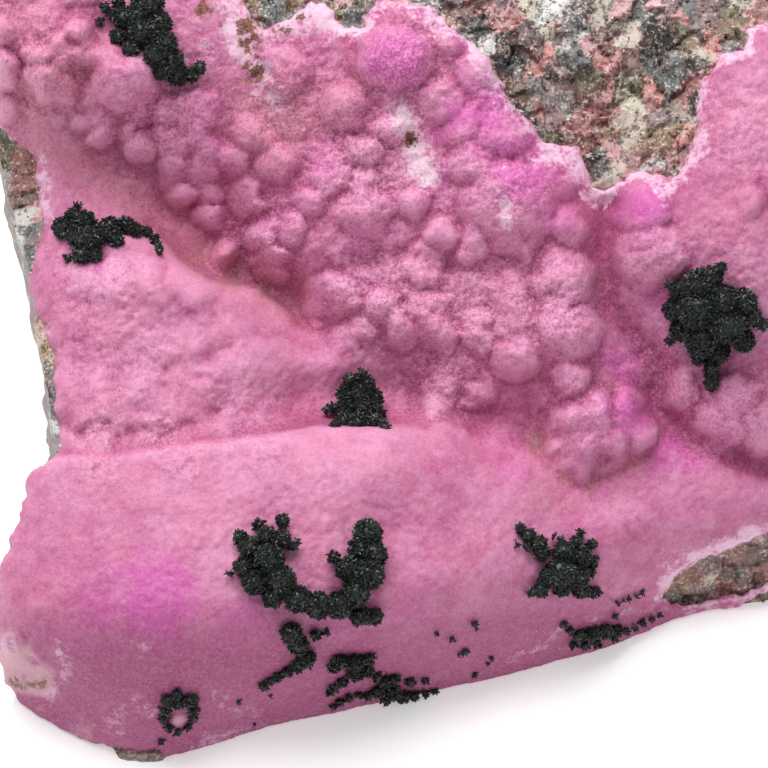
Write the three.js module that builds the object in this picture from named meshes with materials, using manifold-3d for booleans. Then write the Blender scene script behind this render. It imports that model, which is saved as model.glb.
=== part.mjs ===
// A cobaltoan calcite specimen: a wedge of grey-brown matrix rock, a pink botryoidal calcite crust over its
// front and top, and dark malachite tufts that grew on the crust. Millimetres, +Z up, on its flat base.
//
// The crust is described on the growth face, a plane that leans back from the front: "right" runs along +X,
// "up" climbs the slope, and "height" stands out of the plane. Spot heights give the landform as on a map,
// scarps and grooves sharpen it, and lumps grow on it.

import * as THREE from "three";
import { mergeVertices } from "three/addons/utils/BufferGeometryUtils.js";
import Module from "manifold-3d";

// Driving dimensions
const FACE_SLOPE = 35; // degrees the growth face climbs above the table
const FACE_CENTRE = new THREE.Vector3(-5.8, -6.7, 19.7); // where right 0, up 0, height 0 lies
const CRUST_AT_RIM = 1.1; // crust thickness where it is broken off
const CRUST_INSIDE = 2.5; // crust thickness away from its rim
const RIM_TAPER = 4; // distance over which the crust thickens
const CRUST_FOOT = 0.6; // the crust stops this far above the table
const SEAM = 0.3; // clearance between pieces that touch
const FACE_REACH = { left: -52, right: 64, low: -46, high: 60 }; // region of the face that is worked out
const CRUST_STEP = 4; // spacing of crust points between the lumps
const ROCK_STEP = 5.2; // spacing of points on the rock's own face under the crust
const BARE_STEP = 3.7; // and where it is bare
const ROCK_REACH = 2.6; // the covered rock keeps below the crust's surface this far around
const ROCK_ROUGHNESS = 0.9; // relief of bare rock
const DEEP = -90; // below everything, for solids that are cut to shape

// Where the crust's points go: rings round a lump as a share of its radius, for lumps above a radius, and the
// smallest gaps to the points already there
const LUMP_RINGS = [
  { share: 0.97, count: 7, above: 0 },
  { share: 0.6, count: 5, above: 1.9 },
];
const MIDDLE_GAP = 0.6;
const RING_GAP = 0.9;
const TUFT_GAP = 1.7;
const FILL_GAP = 2.5;
const SCARP_STEP = 2.6; // spacing along a scarp
const SCARP_BRINK = 0.15; // points this far before its edge
const SCARP_GAP = 0.5;

// Spot heights of the growth face: [right, up, height]
const SPOT_HEIGHTS = [
  // foot of the front wall
  [-38, -31, -1], [-28.4, -36.4, 1.6], [-24, -37.2, 2.6], [-20, -36.9, 1.9], [-11.4, -34.4, 0],
  [0, -32, -1.6], [6.6, -30.6, -2.6], [17.6, -28, -4.4], [26.6, -25.2, -6.4], [33.6, -23, -7.9],
  [42, -22.4, -8.5],
  // brow, where the front wall turns into the ledge
  [-36, -23.5, 9.5], [-26, -23.8, 13.5], [-16, -23.6, 14], [-8, -22, 13.5], [0, -20.5, 12.5],
  [6.6, -19.5, 10.5], [12, -20.2, 7.5], [17.6, -21.4, 4], [22, -21.8, 0.5], [26, -21.5, -3],
  // ledge
  [-35, -16, 9.5], [-24, -16, 12.5], [-12, -15, 12.5], [0, -14, 10.5], [8, -13, 8],
  [16, -14, 5], [24, -14, 3], [32, -13.5, 1.5], [38, -17, -2],
  // back edge of the ledge
  [-34, -8.5, 7.5], [-27, -8, 8.5], [-18, -7.2, 9], [-8, -5.6, 8.5], [0, -5.2, 7.5], [7, -6, 4.5],
  // plain on the right
  [14, -8, 3], [22, -10.5, 1.5], [30, -9.5, 1.5], [38, -10, 0.5],
  // terrace on the left
  [-30, -2, 5], [-20, -2, 5.5], [-14, -1, 5], [-30, 6, 2.5], [-20, 6, 3.5],
  [-14, 4, 3.5], [-30, 14, 0], [-23, 12, 2], [-18, 9, 2.5], [-34, 3, 2],
  // saddle between the terrace and the middle
  [-11, 4, 1.5], [-9, -2, 3], [-5, 2, 0.5], [-3, -2.5, 2.5],
  // valley floor
  [-37, 27, -3], [-32, 22, -3.5], [-27, 20, -4.5], [-22, 17.5, -5], [-17, 13.5, -5],
  [-13, 11, -4.5], [-9.5, 8, -3.5], [-6, 5.5, -2], [3, -1, -1], [9, -4, -0.5], [15, -6, -0.5],
  // upper slope
  [-37, 35, 3], [-33, 31, 2.5], [-28, 36, 2], [-24, 31, 1.5], [-26, 26, -2], [-19, 24, -2],
  [-14, 28, -0.5], [-10, 20, -0.5], [-8, 13, 0], [-9, 32, 0.5], [0, 32, 2.5], [4, 24, 2.5],
  [-2, 20, 1.5], [0, 13, 1.5], [-1, 7, 1], [6, 8, 1.5], [9, 14, 2], [12, 20, 4], [11, 28, 4],
  [6, 2, 0.5], [12, 6, 2], [12, 0, 1], [18, 4, 3], [18, 12, 3], [20, -3, 1.5],
  // lobe on the right
  [26, 0, 0.5], [26, 8, 2.5], [30, 14, 6], [36, 9, 6.5], [36, 2, 3.5], [36, -4, 1.5], [30, -5, 1],
  [37, 18, 7], [34, 24, 6], [37, 31, 5],
  // bare rock at the top
  [22, 23, 2.5], [15, 30, 3], [22, 34, 2.5], [28, 28, 3], [5, 39, 2.5],
  // past the right and the top
  [45, 16, 3.5], [46, 4, 0], [46, -7, -4], [54, 8, -7], [54, 24, -5], [46, 30, 1.5], [56, -6, -14],
  [-42, 42, -4], [-45, 32, -6], [-30, 44, -1.5], [-14, 44, -1.5], [6, 46, -1.5], [24, 45, -1.5],
  [38, 42, -2], [50, 42, -10], [-36, 54, -12], [0, 55, -9], [30, 54, -10],
];

// Scarps: the ground falls off on the upper side of a line, [right, up, drop], and recovers over the reach.
const SCARPS = [
  {
    reach: 7, // behind the ledge
    line: [
      [-37, -8, 1.4], [-33, -7.7, 1.5], [-26, -7.2, 1.6], [-18.4, -6.3, 1.7], [-10.4, -5.3, 2.3],
      [-6.4, -4.6, 3.2], [0, -4.6, 2.8], [2, -4.7, 1.6], [5, -5.4, 0],
    ],
  },
  {
    reach: 5, // from the terrace into the valley
    line: [
      [-27, 15.6, 0], [-23.5, 15, 1.5], [-21, 12.2, 3], [-17.6, 9.8, 3], [-12.8, 9.2, 3], [-9.6, 6.6, 1.5],
      [-8, 5, 0],
    ],
  },
];
const SCARP_WIDTH = 0.9;

// Grooves: [depth, half width, line]
const GROOVES = [
  [
    2.4,
    1.7,
    [
      [22.6, 17.6], [21.8, 12.5], [22.5, 8], [25, 5], [27.6, 1.5], [27, -2.5], [31, -5.6], [36, -7.6],
      [41, -9.6],
    ],
  ],
  [0.9, 1.1, [[-21.6, 1.4], [-18, 2.5], [-15.4, 3.7]]],
  [0.7, 0.8, [[-32, -4.2], [-27, -4.9], [-22, -4.6], [-18.4, -3.8], [-15.8, -2]]],
  [1.2, 1.3, [[-2.6, 12.2], [2, 12.6], [6, 11.6]]],
  [1, 1.2, [[-8.4, 6.2], [-3.8, 6.4]]],
];

// Lumps of the crust: [right, up, radius, how far it stands out]
const LUMPS = [
  // upper left
  [-37.6, 34.6, 2, 1.3], [-37.4, 31, 2.2, 1.8], [-33.2, 30, 2.3, 1.9], [-34.4, 32.6, 1.6, 1],
  [-31, 34.6, 1.8, 0.9], [-26, 31, 3.1, 2.1], [-28, 27.2, 1.5, 1], [-28.4, 24.6, 1.5, 1.1],
  [-25.2, 24.2, 2.1, 1.9], [-22.4, 27.2, 1.6, 0.8], [-19.8, 26.2, 2.3, 1], [-20.2, 21.6, 2, 1.1],
  [-19.9, 19.2, 1.4, 1.2], [-15.8, 23.4, 2.2, 1], [-13.6, 19, 2, 0.9], [-16.4, 17.8, 2, 0.9],
  [-10.8, 23, 2.2, 1],
  // small balls over the valley
  [-15.9, 12.9, 1.5, 1.9], [-12.2, 14.4, 1.8, 1.9], [-11.3, 12.2, 2.1, 2.2], [-9.4, 15.2, 1.6, 1.3],
  [-7.4, 18, 1.8, 1.1],
  // middle
  [-4, 27.4, 2.3, 1.2], [1.1, 31.9, 2.8, 1.5], [-2.2, 23.2, 1.5, 1], [0.2, 25.4, 1.7, 1.1],
  [-5.2, 20.6, 2, 1], [-1.8, 17.4, 2.6, 1.5], [2.9, 17.8, 1.6, 1.1], [5.6, 14.9, 1.5, 1.3],
  [8.8, 13.8, 1.9, 1.3], [4.1, 11.8, 2.2, 1.3], [-5.4, 8.4, 2.7, 1.5], [-0.4, 7.6, 1.8, 1],
  [4.6, 7.4, 2.1, 1.1], [1.6, 5.4, 1.9, 1.3], [5.2, 5, 2, 1.4], [-3.4, 5.2, 2, 0.8], [5.6, -1, 1.8, 0.9],
  [9.2, -1.2, 1.6, 0.8], [9.6, 5, 1.8, 0.8],
  // under the bare rock
  [11.8, 17.6, 4.1, 2], [16.4, 20.2, 2.4, 0.9], [17.6, 16.6, 2.2, 1], [18, 11, 2.7, 1.6],
  [12.4, 8.2, 2.7, 1.2], [12.8, 2.4, 2.2, 1.5], [17.2, 4.2, 3.2, 1.8], [19, 1.4, 2, 1.3],
  [20.6, -5, 4.5, 2.6],
  // right
  [25.6, 17.4, 2.8, 1.3], [26.4, 12.8, 3.2, 1.5], [36.4, 18, 1.4, 0.6], [35, -1.4, 2.5, 1.3],
  [33.4, -4.2, 2.4, 1.3], [37.6, -4.6, 2.4, 1.2], [29.8, -0.6, 2, 0.8], [43, 6, 3, 1.4], [47, 12, 3.2, 1.5],
  [44, -3, 3, 1.4], [50, 3, 2.8, 1.4], [48.6, 21, 3, 1.3], [42, 25, 2.8, 1.2],
  // past the top left
  [-41, 38, 2.6, 1.3], [-36, 41, 2.8, 1.4], [-30, 40.6, 2.6, 1.1],
];

const LUMP_RELIEF = 1.25; // stretches every lump outwards
const LUMP_FULLNESS = 0.6; // 0.5 is half a ball, 1 a low mound
const LUMP_JOIN = 4;

// Edge of the crust on the growth face, anticlockwise from its lower left corner
const CRUST_EDGE = [
  [-38.6, -27], [-38.2, -30], [-36.8, -32.4], [-34.6, -34.5], [-32, -35.6], [-28.9, -35.9], [-22.8, -36.6],
  [-21.5, -40], [20, -33], [29.9, -26.2], [32.9, -23.6], [35.2, -22.9], [38.4, -21.3], [42, -18.6],
  // bare rock at the lower right
  [38.4, -20.1], [36.2, -21.2], [34, -22], [31.8, -22.2], [27.6, -21.7], [29, -19.8], [31.6, -17.6],
  [36, -15.8], [38.4, -15], [44, -12], [50, -8.5], [54, -2], [56, 8], [55.6, 18], [53, 28], [49, 34.5],
  [44, 37.6],
  // round the bare rock at the top
  [38.4, 35.8], [36.2, 35.2], [36, 33], [33.6, 32], [31.8, 30.4], [31.2, 27], [30.8, 23.5], [30, 21.5],
  [28.5, 20.2], [25.5, 21.2], [22.2, 19.2], [20.6, 19.5], [19.7, 21.3], [19.2, 23.4], [16.2, 23.9],
  [14.8, 25.8], [12.3, 29], [10.6, 32.2], [8.7, 34.6], [5.8, 35.7], [4.3, 37.9], [1.6, 38.6], [-0.9, 38.2],
  [-1.9, 35.6], [-3.9, 35.3], [-5.9, 37.4], [-7.2, 38], [-9.4, 36.2], [-12.2, 35.7], [-13.9, 37.4],
  [-15.4, 41],
  // past the top left, and down the left rim
  [-20, 44.5], [-27, 46.5], [-36, 46], [-42.6, 43], [-44.4, 37], [-42.4, 31], [-38.4, 24.8], [-35.6, 22.9],
  [-35.6, 20.8], [-35, 18.4], [-34.5, 16], [-35.2, 13.4], [-35.5, 10.6], [-35.1, 7.2], [-33.2, 3.2],
  [-33, 0.8], [-32.6, -2.6], [-32.3, -6], [-33.2, -7.8], [-35.2, -8.4], [-36.2, -11], [-37.2, -14.2], [-38.2, -18],
  [-38.7, -22],
];

// The rock's plan at three heights, on the table's own axes before FACE_CENTRE is added: [x, y]
const ROCK_LEVELS = [
  {
    z: 0,
    plan: [
      [-31.5, -33], [-10, -31], [8, -25.5], [27, -18.5], [39, -15.5], [48, -8], [53, 4], [51, 17], [46, 30],
      [34, 39], [19, 40], [4, 43.5], [-12, 41], [-25, 44], [-36, 38], [-37.4, 30], [-35, 20], [-33.2, 10],
      [-34, 2], [-35.6, -6], [-36, -15],
    ],
  },
  {
    z: 17,
    plan: [
      [-38.4, -36], [-10, -38], [10, -34], [30, -30], [44, -22], [54, -9], [57.5, 6], [55, 19], [51, 32],
      [39, 42], [22, 44.5], [5, 46], [-13, 45.5], [-27, 46], [-39, 41], [-39.6, 30], [-37.6, 18],
      [-35.2, 8], [-33.6, -3], [-33, -8], [-38.8, -15],
    ],
  },
  {
    z: 56,
    plan: [
      [-38.8, -38], [-10, -40], [10, -38], [30, -34], [45, -24], [54, -10], [55.5, 6], [54, 19], [49, 31],
      [37, 38.5], [22, 42], [5, 44], [-13, 42.5], [-27, 44.5], [-43, 43], [-43.5, 30], [-37.4, 17],
      [-35.4, 8], [-33.2, -3], [-33, -9], [-38.8, -15],
    ],
  },
];
const ROCK_COURSES = [0, 7, 17, 27, 38, 56]; // heights at which the wall bends
const WALL_ROUGHNESS = 3.2; // how far the hidden wall bends in
const LEFT_WALL = -30; // left of this the wall shows beside the crust, and is left unbent

// Dark tufts: each is a list of grains grown together, [right, up, radius, lift above the crust]
const TUFTS = {
  malachite_tuft_top_left: [
    [-24.2, 39.2, 1.3, 0.6], [-23.6, 37.4, 1.8, 1], [-25.9, 36.2, 1.2, 0.7], [-22.4, 35.9, 1.4, 0.8],
    [-24, 34.9, 1.8, 1.1], [-26.4, 34.5, 0.9, 0.4], [-25.2, 33.2, 0.9, 0.5], [-22, 33.6, 1.7, 1.1],
    [-22.2, 31.4, 1.3, 0.6], [-20.6, 31, 1.3, 0.8], [-18.8, 31.2, 0.9, 0.5], [-27.1, 36.9, 0.7, 0.6],
    [-28.1, 37.2, 0.5, 0.6],
  ],
  malachite_tuft_left: [
    [-32.1, 15.8, 1.3, 0.7], [-30.9, 17.4, 0.6, 0.6], [-29.9, 16.2, 1.4, 0.9], [-29.8, 14.5, 1.6, 1],
    [-30.2, 12.9, 1.1, 0.6], [-31.5, 12.6, 0.5, 0.3], [-28.7, 13.3, 0.8, 0.5], [-27.4, 15.8, 1.3, 0.8],
    [-25.9, 15.8, 1.1, 0.7], [-26.8, 14.5, 0.9, 0.5], [-28.4, 15, 1, 0.6], [-24.6, 15.3, 1, 0.6],
    [-23.4, 14.9, 0.9, 0.8], [-22.6, 13.9, 0.7, 0.8],
  ],
  malachite_tuft_centre: [
    [-2.2, 0.9, 0.9, 2.6], [-3.4, 0.2, 1, 2.2], [-1.7, -0.4, 1.2, 2.3], [-3.8, -1.1, 1.1, 1.8],
    [-2.6, -2, 1.9, 1.8], [-1, -1.8, 1.1, 1.7], [-4.6, -2.4, 0.8, 1.2], [-5.7, -2.5, 0.5, 1.1],
    [-4, -3.6, 1.2, 1], [-2.2, -3.8, 1.3, 1], [-0.6, -3.6, 1.2, 1.1],
  ],
  malachite_tuft_right: [
    [31, 9.6, 2, 1.6], [32.8, 11, 0.9, 1.3], [29, 9.3, 1.1, 1], [29, 6.9, 1.6, 1.2], [31.6, 6.9, 2.4, 2],
    [34.4, 8.1, 2, 1.8], [34.2, 5.7, 2.2, 2], [36.6, 6.4, 1.3, 1.4], [37.8, 5.7, 0.6, 1.3],
    [35.6, 4.2, 1.3, 1.2], [31.6, 4.2, 2.1, 1.6], [28.5, 4.3, 0.7, 0.9], [33.2, 3.2, 1.4, 1.1],
    [32.6, 1.5, 0.9, 1.1], [32.7, 0.3, 0.9, 1.1],
  ],
  malachite_tuft_front_fork: [
    [-9.9, -13.6, 0.9, 1.2], [-12.2, -14, 0.8, 0.9], [-14, -15, 0.8, 0.8], [-11, -15.3, 1.5, 1.4],
    [-13.1, -16.3, 1.4, 1.1], [-8.8, -15.6, 0.5, 0.9], [-10.9, -17.4, 1.8, 1.6], [-13.6, -18, 1, 0.8],
    [-12.3, -19.2, 1.5, 1], [-10.2, -19.8, 1.8, 1.2], [-8, -21, 1.6, 1], [-5.8, -21.6, 1.6, 0.9],
    [-4.7, -17, 0.7, 1], [-3.6, -18, 1.3, 1.2], [-1.6, -14.8, 1.7, 1.8], [-1.2, -17.1, 1.8, 1.7],
    [-2.3, -19.5, 2, 1.4], [-3.6, -21.3, 1.5, 1], [-2, -22.4, 1.3, 0.9],
  ],
  malachite_tuft_front_star: [
    [13.6, -14.4, 0.7, 0.5], [14.9, -15.5, 1, 0.7], [13.8, -16, 0.5, 0.4], [16, -17, 1, 0.8],
    [17.2, -15.4, 0.6, 0.6], [19, -15.6, 0.9, 0.8], [20.6, -16.3, 0.8, 0.6], [17.9, -17.1, 1.6, 1],
    [19.9, -17.6, 1.2, 0.8], [17.4, -19, 1.7, 1.1], [19.3, -19.4, 1.4, 0.9], [15.6, -19.9, 1.2, 0.7],
    [20.5, -20.4, 0.9, 0.6],
  ],
  malachite_tuft_front_knot: [
    [-9.1, -24.6, 1.4, 0.8], [-8.4, -25.9, 1.3, 0.6], [-7.7, -27.1, 1.3, 0.6], [-7.4, -24.8, 0.8, 0.6],
    [-6.2, -24.5, 0.7, 0.4], [-8.7, -28, 0.9, 0.4], [-9.8, -28.6, 0.8, 0.3], [-10.8, -29.1, 0.7, 0.3],
    [-11.7, -29.6, 0.6, 0.25],
  ],
  malachite_tuft_front_patch: [
    [-4.4, -27.5, 1.1, 0.5], [-2.9, -27.6, 1.2, 0.5], [-1.6, -27.4, 0.9, 0.4], [-2.6, -28.6, 1, 0.4],
    [-3.7, -29, 0.9, 0.4], [-4.5, -29.9, 0.8, 0.3],
  ],
  malachite_tuft_front_arc: [
    [-4.8, -32, 0.6, 0.3], [-3.9, -31.5, 0.7, 0.3], [-2.9, -31.2, 0.7, 0.3], [-1.9, -31, 0.7, 0.35],
    [-0.9, -30.7, 0.8, 0.4], [0.1, -29.8, 1, 0.4], [0.6, -30.9, 1.1, 0.5], [1.8, -31.1, 1, 0.4],
    [2.9, -31, 0.8, 0.35], [3.9, -30.8, 0.6, 0.3],
  ],
  malachite_tuft_front_streak: [
    [18.1, -24.3, 0.7, 0.3], [19.2, -25, 0.9, 0.4], [20.5, -25.1, 1, 0.5], [21.9, -24.8, 1, 0.5],
    [23.2, -24.6, 0.9, 0.4], [19.9, -26.1, 0.9, 0.3], [21.2, -26, 0.8, 0.3], [24.3, -24.5, 0.8, 0.35],
    [25.3, -24.2, 0.75, 0.3], [26.3, -23.8, 0.7, 0.3], [27.2, -23.4, 0.6, 0.25],
  ],
  malachite_tuft_front_ring: [
    [-20.3, -30.8, 0.7, 0.4], [-21.3, -31.4, 0.7, 0.4], [-20.4, -31.8, 0.7, 0.4], [-19.4, -31.7, 0.8, 0.4],
    [-19.1, -32.5, 0.65, 0.3], [-19.2, -33.4, 0.65, 0.3], [-21.7, -32.4, 0.7, 0.3], [-22, -33.3, 0.7, 0.3],
    [-21.6, -34.1, 0.65, 0.3],
  ],
};
const TUFT_STRETCH = 1.3; // a grain's size outwards, as a share of its size along the crust
const BLOCKY_BELOW = 1.75; // grains smaller than this are eight-sided
const BLOCKY_SIZE = 1.45; // an eight-sided grain is drawn this much larger, to hold as much as a round one

// Looks, for viewers of the plain solids
const PINK_CALCITE = new THREE.MeshStandardMaterial({ color: 0xd87fb0, roughness: 0.6, metalness: 0 });
const MATRIX_ROCK = new THREE.MeshStandardMaterial({ color: 0x7d6a60, roughness: 0.9, metalness: 0 });
const DARK_MALACHITE = new THREE.MeshStandardMaterial({ color: 0x181d1a, roughness: 0.4, metalness: 0 });

// The growth face
const slope = THREE.MathUtils.degToRad(FACE_SLOPE);
const FACE_TO_TABLE = new THREE.Matrix4().makeRotationX(slope).setPosition(FACE_CENTRE);
const FACE_NORMAL = new THREE.Vector3(0, -Math.sin(slope), Math.cos(slope));

const smoothStep = (t) => {
  const c = Math.min(1, Math.max(0, t));
  return c * c * (3 - 2 * c);
};

// Repeatable value from 0 to 1 for a pair of numbers.
const scatter = (a, b) => {
  const s = Math.sin(a * 12.9898 + b * 78.233) * 43758.5453;
  return s - Math.floor(s);
};

const plateKernel = (distance) => (distance > 0 ? distance * distance * Math.log(distance) : 0);

// Solves a square set of linear equations by elimination with pivoting.
function solve(rows) {
  const n = rows.length;
  for (let column = 0; column < n; column++) {
    let pivot = column;
    for (let row = column + 1; row < n; row++) {
      if (Math.abs(rows[row][column]) > Math.abs(rows[pivot][column])) pivot = row;
    }
    [rows[column], rows[pivot]] = [rows[pivot], rows[column]];
    for (let row = column + 1; row < n; row++) {
      const share = rows[row][column] / rows[column][column];
      for (let k = column; k <= n; k++) rows[row][k] -= share * rows[column][k];
    }
  }
  const answer = new Array(n).fill(0);
  for (let row = n - 1; row >= 0; row--) {
    let rest = rows[row][n];
    for (let k = row + 1; k < n; k++) rest -= rows[row][k] * answer[k];
    answer[row] = rest / rows[row][row];
  }
  return answer;
}

// A thin bent plate through the spot heights: weights for each spot, then a level and two slopes.
function fitPlate(spots) {
  const n = spots.length;
  const rows = spots.map(([x, y, height]) => [
    ...spots.map(([a, b]) => plateKernel(Math.hypot(x - a, y - b))),
    1,
    x,
    y,
    height,
  ]);
  rows.push([...spots.map(() => 1), 0, 0, 0, 0]);
  rows.push([...spots.map(([x]) => x), 0, 0, 0, 0]);
  rows.push([...spots.map(([, y]) => y), 0, 0, 0, 0]);
  const weights = solve(rows);
  return { weights, level: weights[n], slopeRight: weights[n + 1], slopeUp: weights[n + 2] };
}

const PLATE = fitPlate(SPOT_HEIGHTS);

function landform(right, up) {
  let height = PLATE.level + PLATE.slopeRight * right + PLATE.slopeUp * up;
  SPOT_HEIGHTS.forEach(([x, y], i) => {
    height += PLATE.weights[i] * plateKernel(Math.hypot(right - x, up - y));
  });
  return height;
}

// Nearest place on a line of points: its distance, whether the point is on the line's upper side, and the
// value there.
function nearLine(right, up, line) {
  let best = { distance: Infinity, above: false, value: 0 };
  for (let i = 0; i + 1 < line.length; i++) {
    const [ax, ay, from = 0] = line[i];
    const [bx, by, to = 0] = line[i + 1];
    const along = ((right - ax) * (bx - ax) + (up - ay) * (by - ay)) / ((bx - ax) ** 2 + (by - ay) ** 2);
    const t = Math.min(1, Math.max(0, along));
    const distance = Math.hypot(right - ax - t * (bx - ax), up - ay - t * (by - ay));
    if (distance < best.distance) {
      const above = (bx - ax) * (up - ay) - (by - ay) * (right - ax) > 0;
      best = { distance, above, value: from + t * (to - from) };
    }
  }
  return best;
}

function scarpFall(right, up) {
  let fall = 0;
  for (const { reach, line } of SCARPS) {
    const { distance, above, value } = nearLine(right, up, line);
    const profile = smoothStep(distance / SCARP_WIDTH) * (1 - smoothStep((distance - SCARP_WIDTH) / reach));
    if (above) fall += value * profile;
  }
  return fall;
}

function grooveDepth(right, up) {
  let depth = 0;
  for (const [deepest, halfWidth, line] of GROOVES) {
    const { distance } = nearLine(right, up, line);
    depth += deepest * Math.exp(-((distance / halfWidth) ** 2));
  }
  return depth;
}

// Lumps join as a sum of powers, so that the highest one leads and the creases between them stay tight.
function lumpHeight(right, up) {
  let sum = 0;
  for (const [x, y, radius, height] of LUMPS) {
    const share = 1 - ((right - x) ** 2 + (up - y) ** 2) / radius ** 2;
    if (share > 0) sum += (LUMP_RELIEF * height * share ** LUMP_FULLNESS) ** LUMP_JOIN;
  }
  return sum ** (1 / LUMP_JOIN);
}

const crustSurface = (right, up) =>
  landform(right, up) - scarpFall(right, up) - grooveDepth(right, up) + lumpHeight(right, up);

// Distance inside the crust's edge, negative outside it.
function insideCrust(right, up) {
  const closed = [...CRUST_EDGE, CRUST_EDGE[0]];
  const { distance } = nearLine(right, up, closed);
  let inside = false;
  for (let i = 0; i + 1 < closed.length; i++) {
    const [ax, ay] = closed[i];
    const [bx, by] = closed[i + 1];
    if (ay > up !== by > up && right < ax + ((up - ay) * (bx - ax)) / (by - ay)) inside = !inside;
  }
  return inside ? distance : -distance;
}

// The rock's own face: smooth and below the crust's deepest creases where it is covered, rough where bare.
function rockSurface(right, up) {
  const inside = insideCrust(right, up);
  const cover = smoothStep(inside / RIM_TAPER);
  const thickness = CRUST_AT_RIM + (CRUST_INSIDE - CRUST_AT_RIM) * cover;
  let lowest = landform(right, up) - scarpFall(right, up);
  for (let k = 0; k < 8; k++) {
    const x = right + cover * ROCK_REACH * Math.cos((Math.PI * k) / 4);
    const y = up + cover * ROCK_REACH * Math.sin((Math.PI * k) / 4);
    lowest = Math.min(lowest, landform(x, y) - scarpFall(x, y));
  }
  const rough = ROCK_ROUGHNESS * (2 * scatter(right, up) - 1) * smoothStep(-inside / 1.5);
  return lowest - thickness + rough;
}

// Solids
const wasm = await Module();
wasm.setup();

function solidOf(geometry) {
  const bare = geometry.clone();
  bare.deleteAttribute("normal");
  bare.deleteAttribute("uv");
  const merged = mergeVertices(bare, 1e-4);
  return new wasm.Manifold(
    new wasm.Mesh({
      numProp: 3,
      vertProperties: merged.attributes.position.array,
      triVerts: new Uint32Array(merged.index.array),
    }),
  );
}

function geometryOf(solid) {
  const mesh = solid.getMesh();
  return new THREE.BufferGeometry()
    .setAttribute("position", new THREE.BufferAttribute(new Float32Array(mesh.vertProperties), 3))
    .setIndex(new THREE.BufferAttribute(new Uint32Array(mesh.triVerts), 1))
    .toNonIndexed();
}

// Triangles between points, such that the circle through a triangle's corners holds no other point.
function triangulate(points) {
  const far = 1000;
  const all = [...points, [-far, -far], [far, -far], [0, far]];
  const n = points.length;
  const circled = (a, b, c) => {
    const [ax, ay] = all[a];
    const [bx, by] = [all[b][0] - ax, all[b][1] - ay];
    const [cx, cy] = [all[c][0] - ax, all[c][1] - ay];
    const d = 2 * (bx * cy - by * cx);
    const x = (cy * (bx * bx + by * by) - by * (cx * cx + cy * cy)) / d;
    const y = (bx * (cx * cx + cy * cy) - cx * (bx * bx + by * by)) / d;
    return { corners: [a, b, c], x: x + ax, y: y + ay, reach: x * x + y * y };
  };
  let triangles = [circled(n, n + 1, n + 2)];
  points.forEach(([x, y], i) => {
    const rim = new Map();
    const kept = [];
    for (const t of triangles) {
      if ((t.x - x) ** 2 + (t.y - y) ** 2 >= t.reach) {
        kept.push(t);
        continue;
      }
      for (let k = 0; k < 3; k++) {
        const [a, b] = [t.corners[k], t.corners[(k + 1) % 3]];
        if (!rim.delete(b + "," + a)) rim.set(a + "," + b, [a, b]);
      }
    }
    triangles = kept;
    for (const [a, b] of rim.values()) triangles.push(circled(a, b, i));
  });
  return triangles.map((t) => t.corners).filter((corners) => corners.every((c) => c < n));
}

// A solid that fills everything under a surface of the growth face, down to DEEP.
function solidUnder(points, surface) {
  const n = points.length;
  const positions = [];
  for (const [right, up] of points) positions.push(right, up, surface(right, up));
  for (const [right, up] of points) positions.push(right, up, DEEP);
  const faces = [];
  const edges = new Map();
  for (const [a, b, c] of triangulate(points)) {
    faces.push(a, b, c, c + n, b + n, a + n);
    for (const [p, q] of [[a, b], [b, c], [c, a]]) {
      if (!edges.delete(q + "," + p)) edges.set(p + "," + q, [p, q]);
    }
  }
  for (const [a, b] of edges.values()) faces.push(b, a, a + n, b, a + n, b + n);
  const geometry = new THREE.BufferGeometry()
    .setAttribute("position", new THREE.Float32BufferAttribute(positions, 3))
    .setIndex(faces);
  return solidOf(geometry.applyMatrix4(FACE_TO_TABLE));
}

// Rows of points over the whole face, shaken a little so that no four lie on one circle.
function pointsOverFace(step) {
  const points = [];
  const shake = 0.28 * step;
  for (let up = FACE_REACH.low; up <= FACE_REACH.high; up += step) {
    for (let right = FACE_REACH.left; right <= FACE_REACH.right; right += step) {
      points.push([
        right + shake * (2 * scatter(right, up) - 1),
        up + shake * (2 * scatter(up, right + 7) - 1),
      ]);
    }
  }
  return points;
}

function rockPoints() {
  const covered = pointsOverFace(ROCK_STEP).filter(([x, y]) => insideCrust(x, y) >= 1);
  const bare = pointsOverFace(BARE_STEP).filter(([x, y]) => insideCrust(x, y) < 1);
  return [...covered, ...bare];
}

// Points that follow the lumps and scarps: a middle and a foot ring for each lump, a shoulder ring for large
// ones, and two rows along a scarp.
function crustPoints() {
  const points = [];
  const clear = (x, y, gap) => points.every(([a, b]) => Math.hypot(a - x, b - y) > gap);
  const add = (x, y, gap) => {
    if (clear(x, y, gap)) points.push([x, y]);
  };
  for (const [x, y] of LUMPS) add(x, y, MIDDLE_GAP);
  for (const { line } of SCARPS) {
    for (let i = 0; i + 1 < line.length; i++) {
      const [ax, ay] = line[i];
      const [bx, by] = line[i + 1];
      const length = Math.hypot(bx - ax, by - ay);
      const count = Math.max(1, Math.round(length / SCARP_STEP));
      for (let k = 0; k < count; k++) {
        const x = ax + ((bx - ax) * k) / count;
        const y = ay + ((by - ay) * k) / count;
        const [outX, outY] = [-(by - ay) / length, (bx - ax) / length];
        add(x - SCARP_BRINK * outX, y - SCARP_BRINK * outY, SCARP_GAP);
        add(x + SCARP_WIDTH * outX, y + SCARP_WIDTH * outY, SCARP_GAP);
      }
    }
  }
  for (const { share, count, above } of LUMP_RINGS) {
    for (const [x, y, radius] of LUMPS.filter((lump) => lump[2] > above)) {
      for (let k = 0; k < count; k++) {
        const turn = (2 * Math.PI * (k + scatter(x, y))) / count;
        add(x + share * radius * Math.cos(turn), y + share * radius * Math.sin(turn), RING_GAP);
      }
    }
  }
  for (const [x, y] of Object.values(TUFTS).flat()) add(x, y, TUFT_GAP);
  for (const [x, y] of pointsOverFace(CRUST_STEP)) add(x, y, FILL_GAP);
  return points;
}

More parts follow.
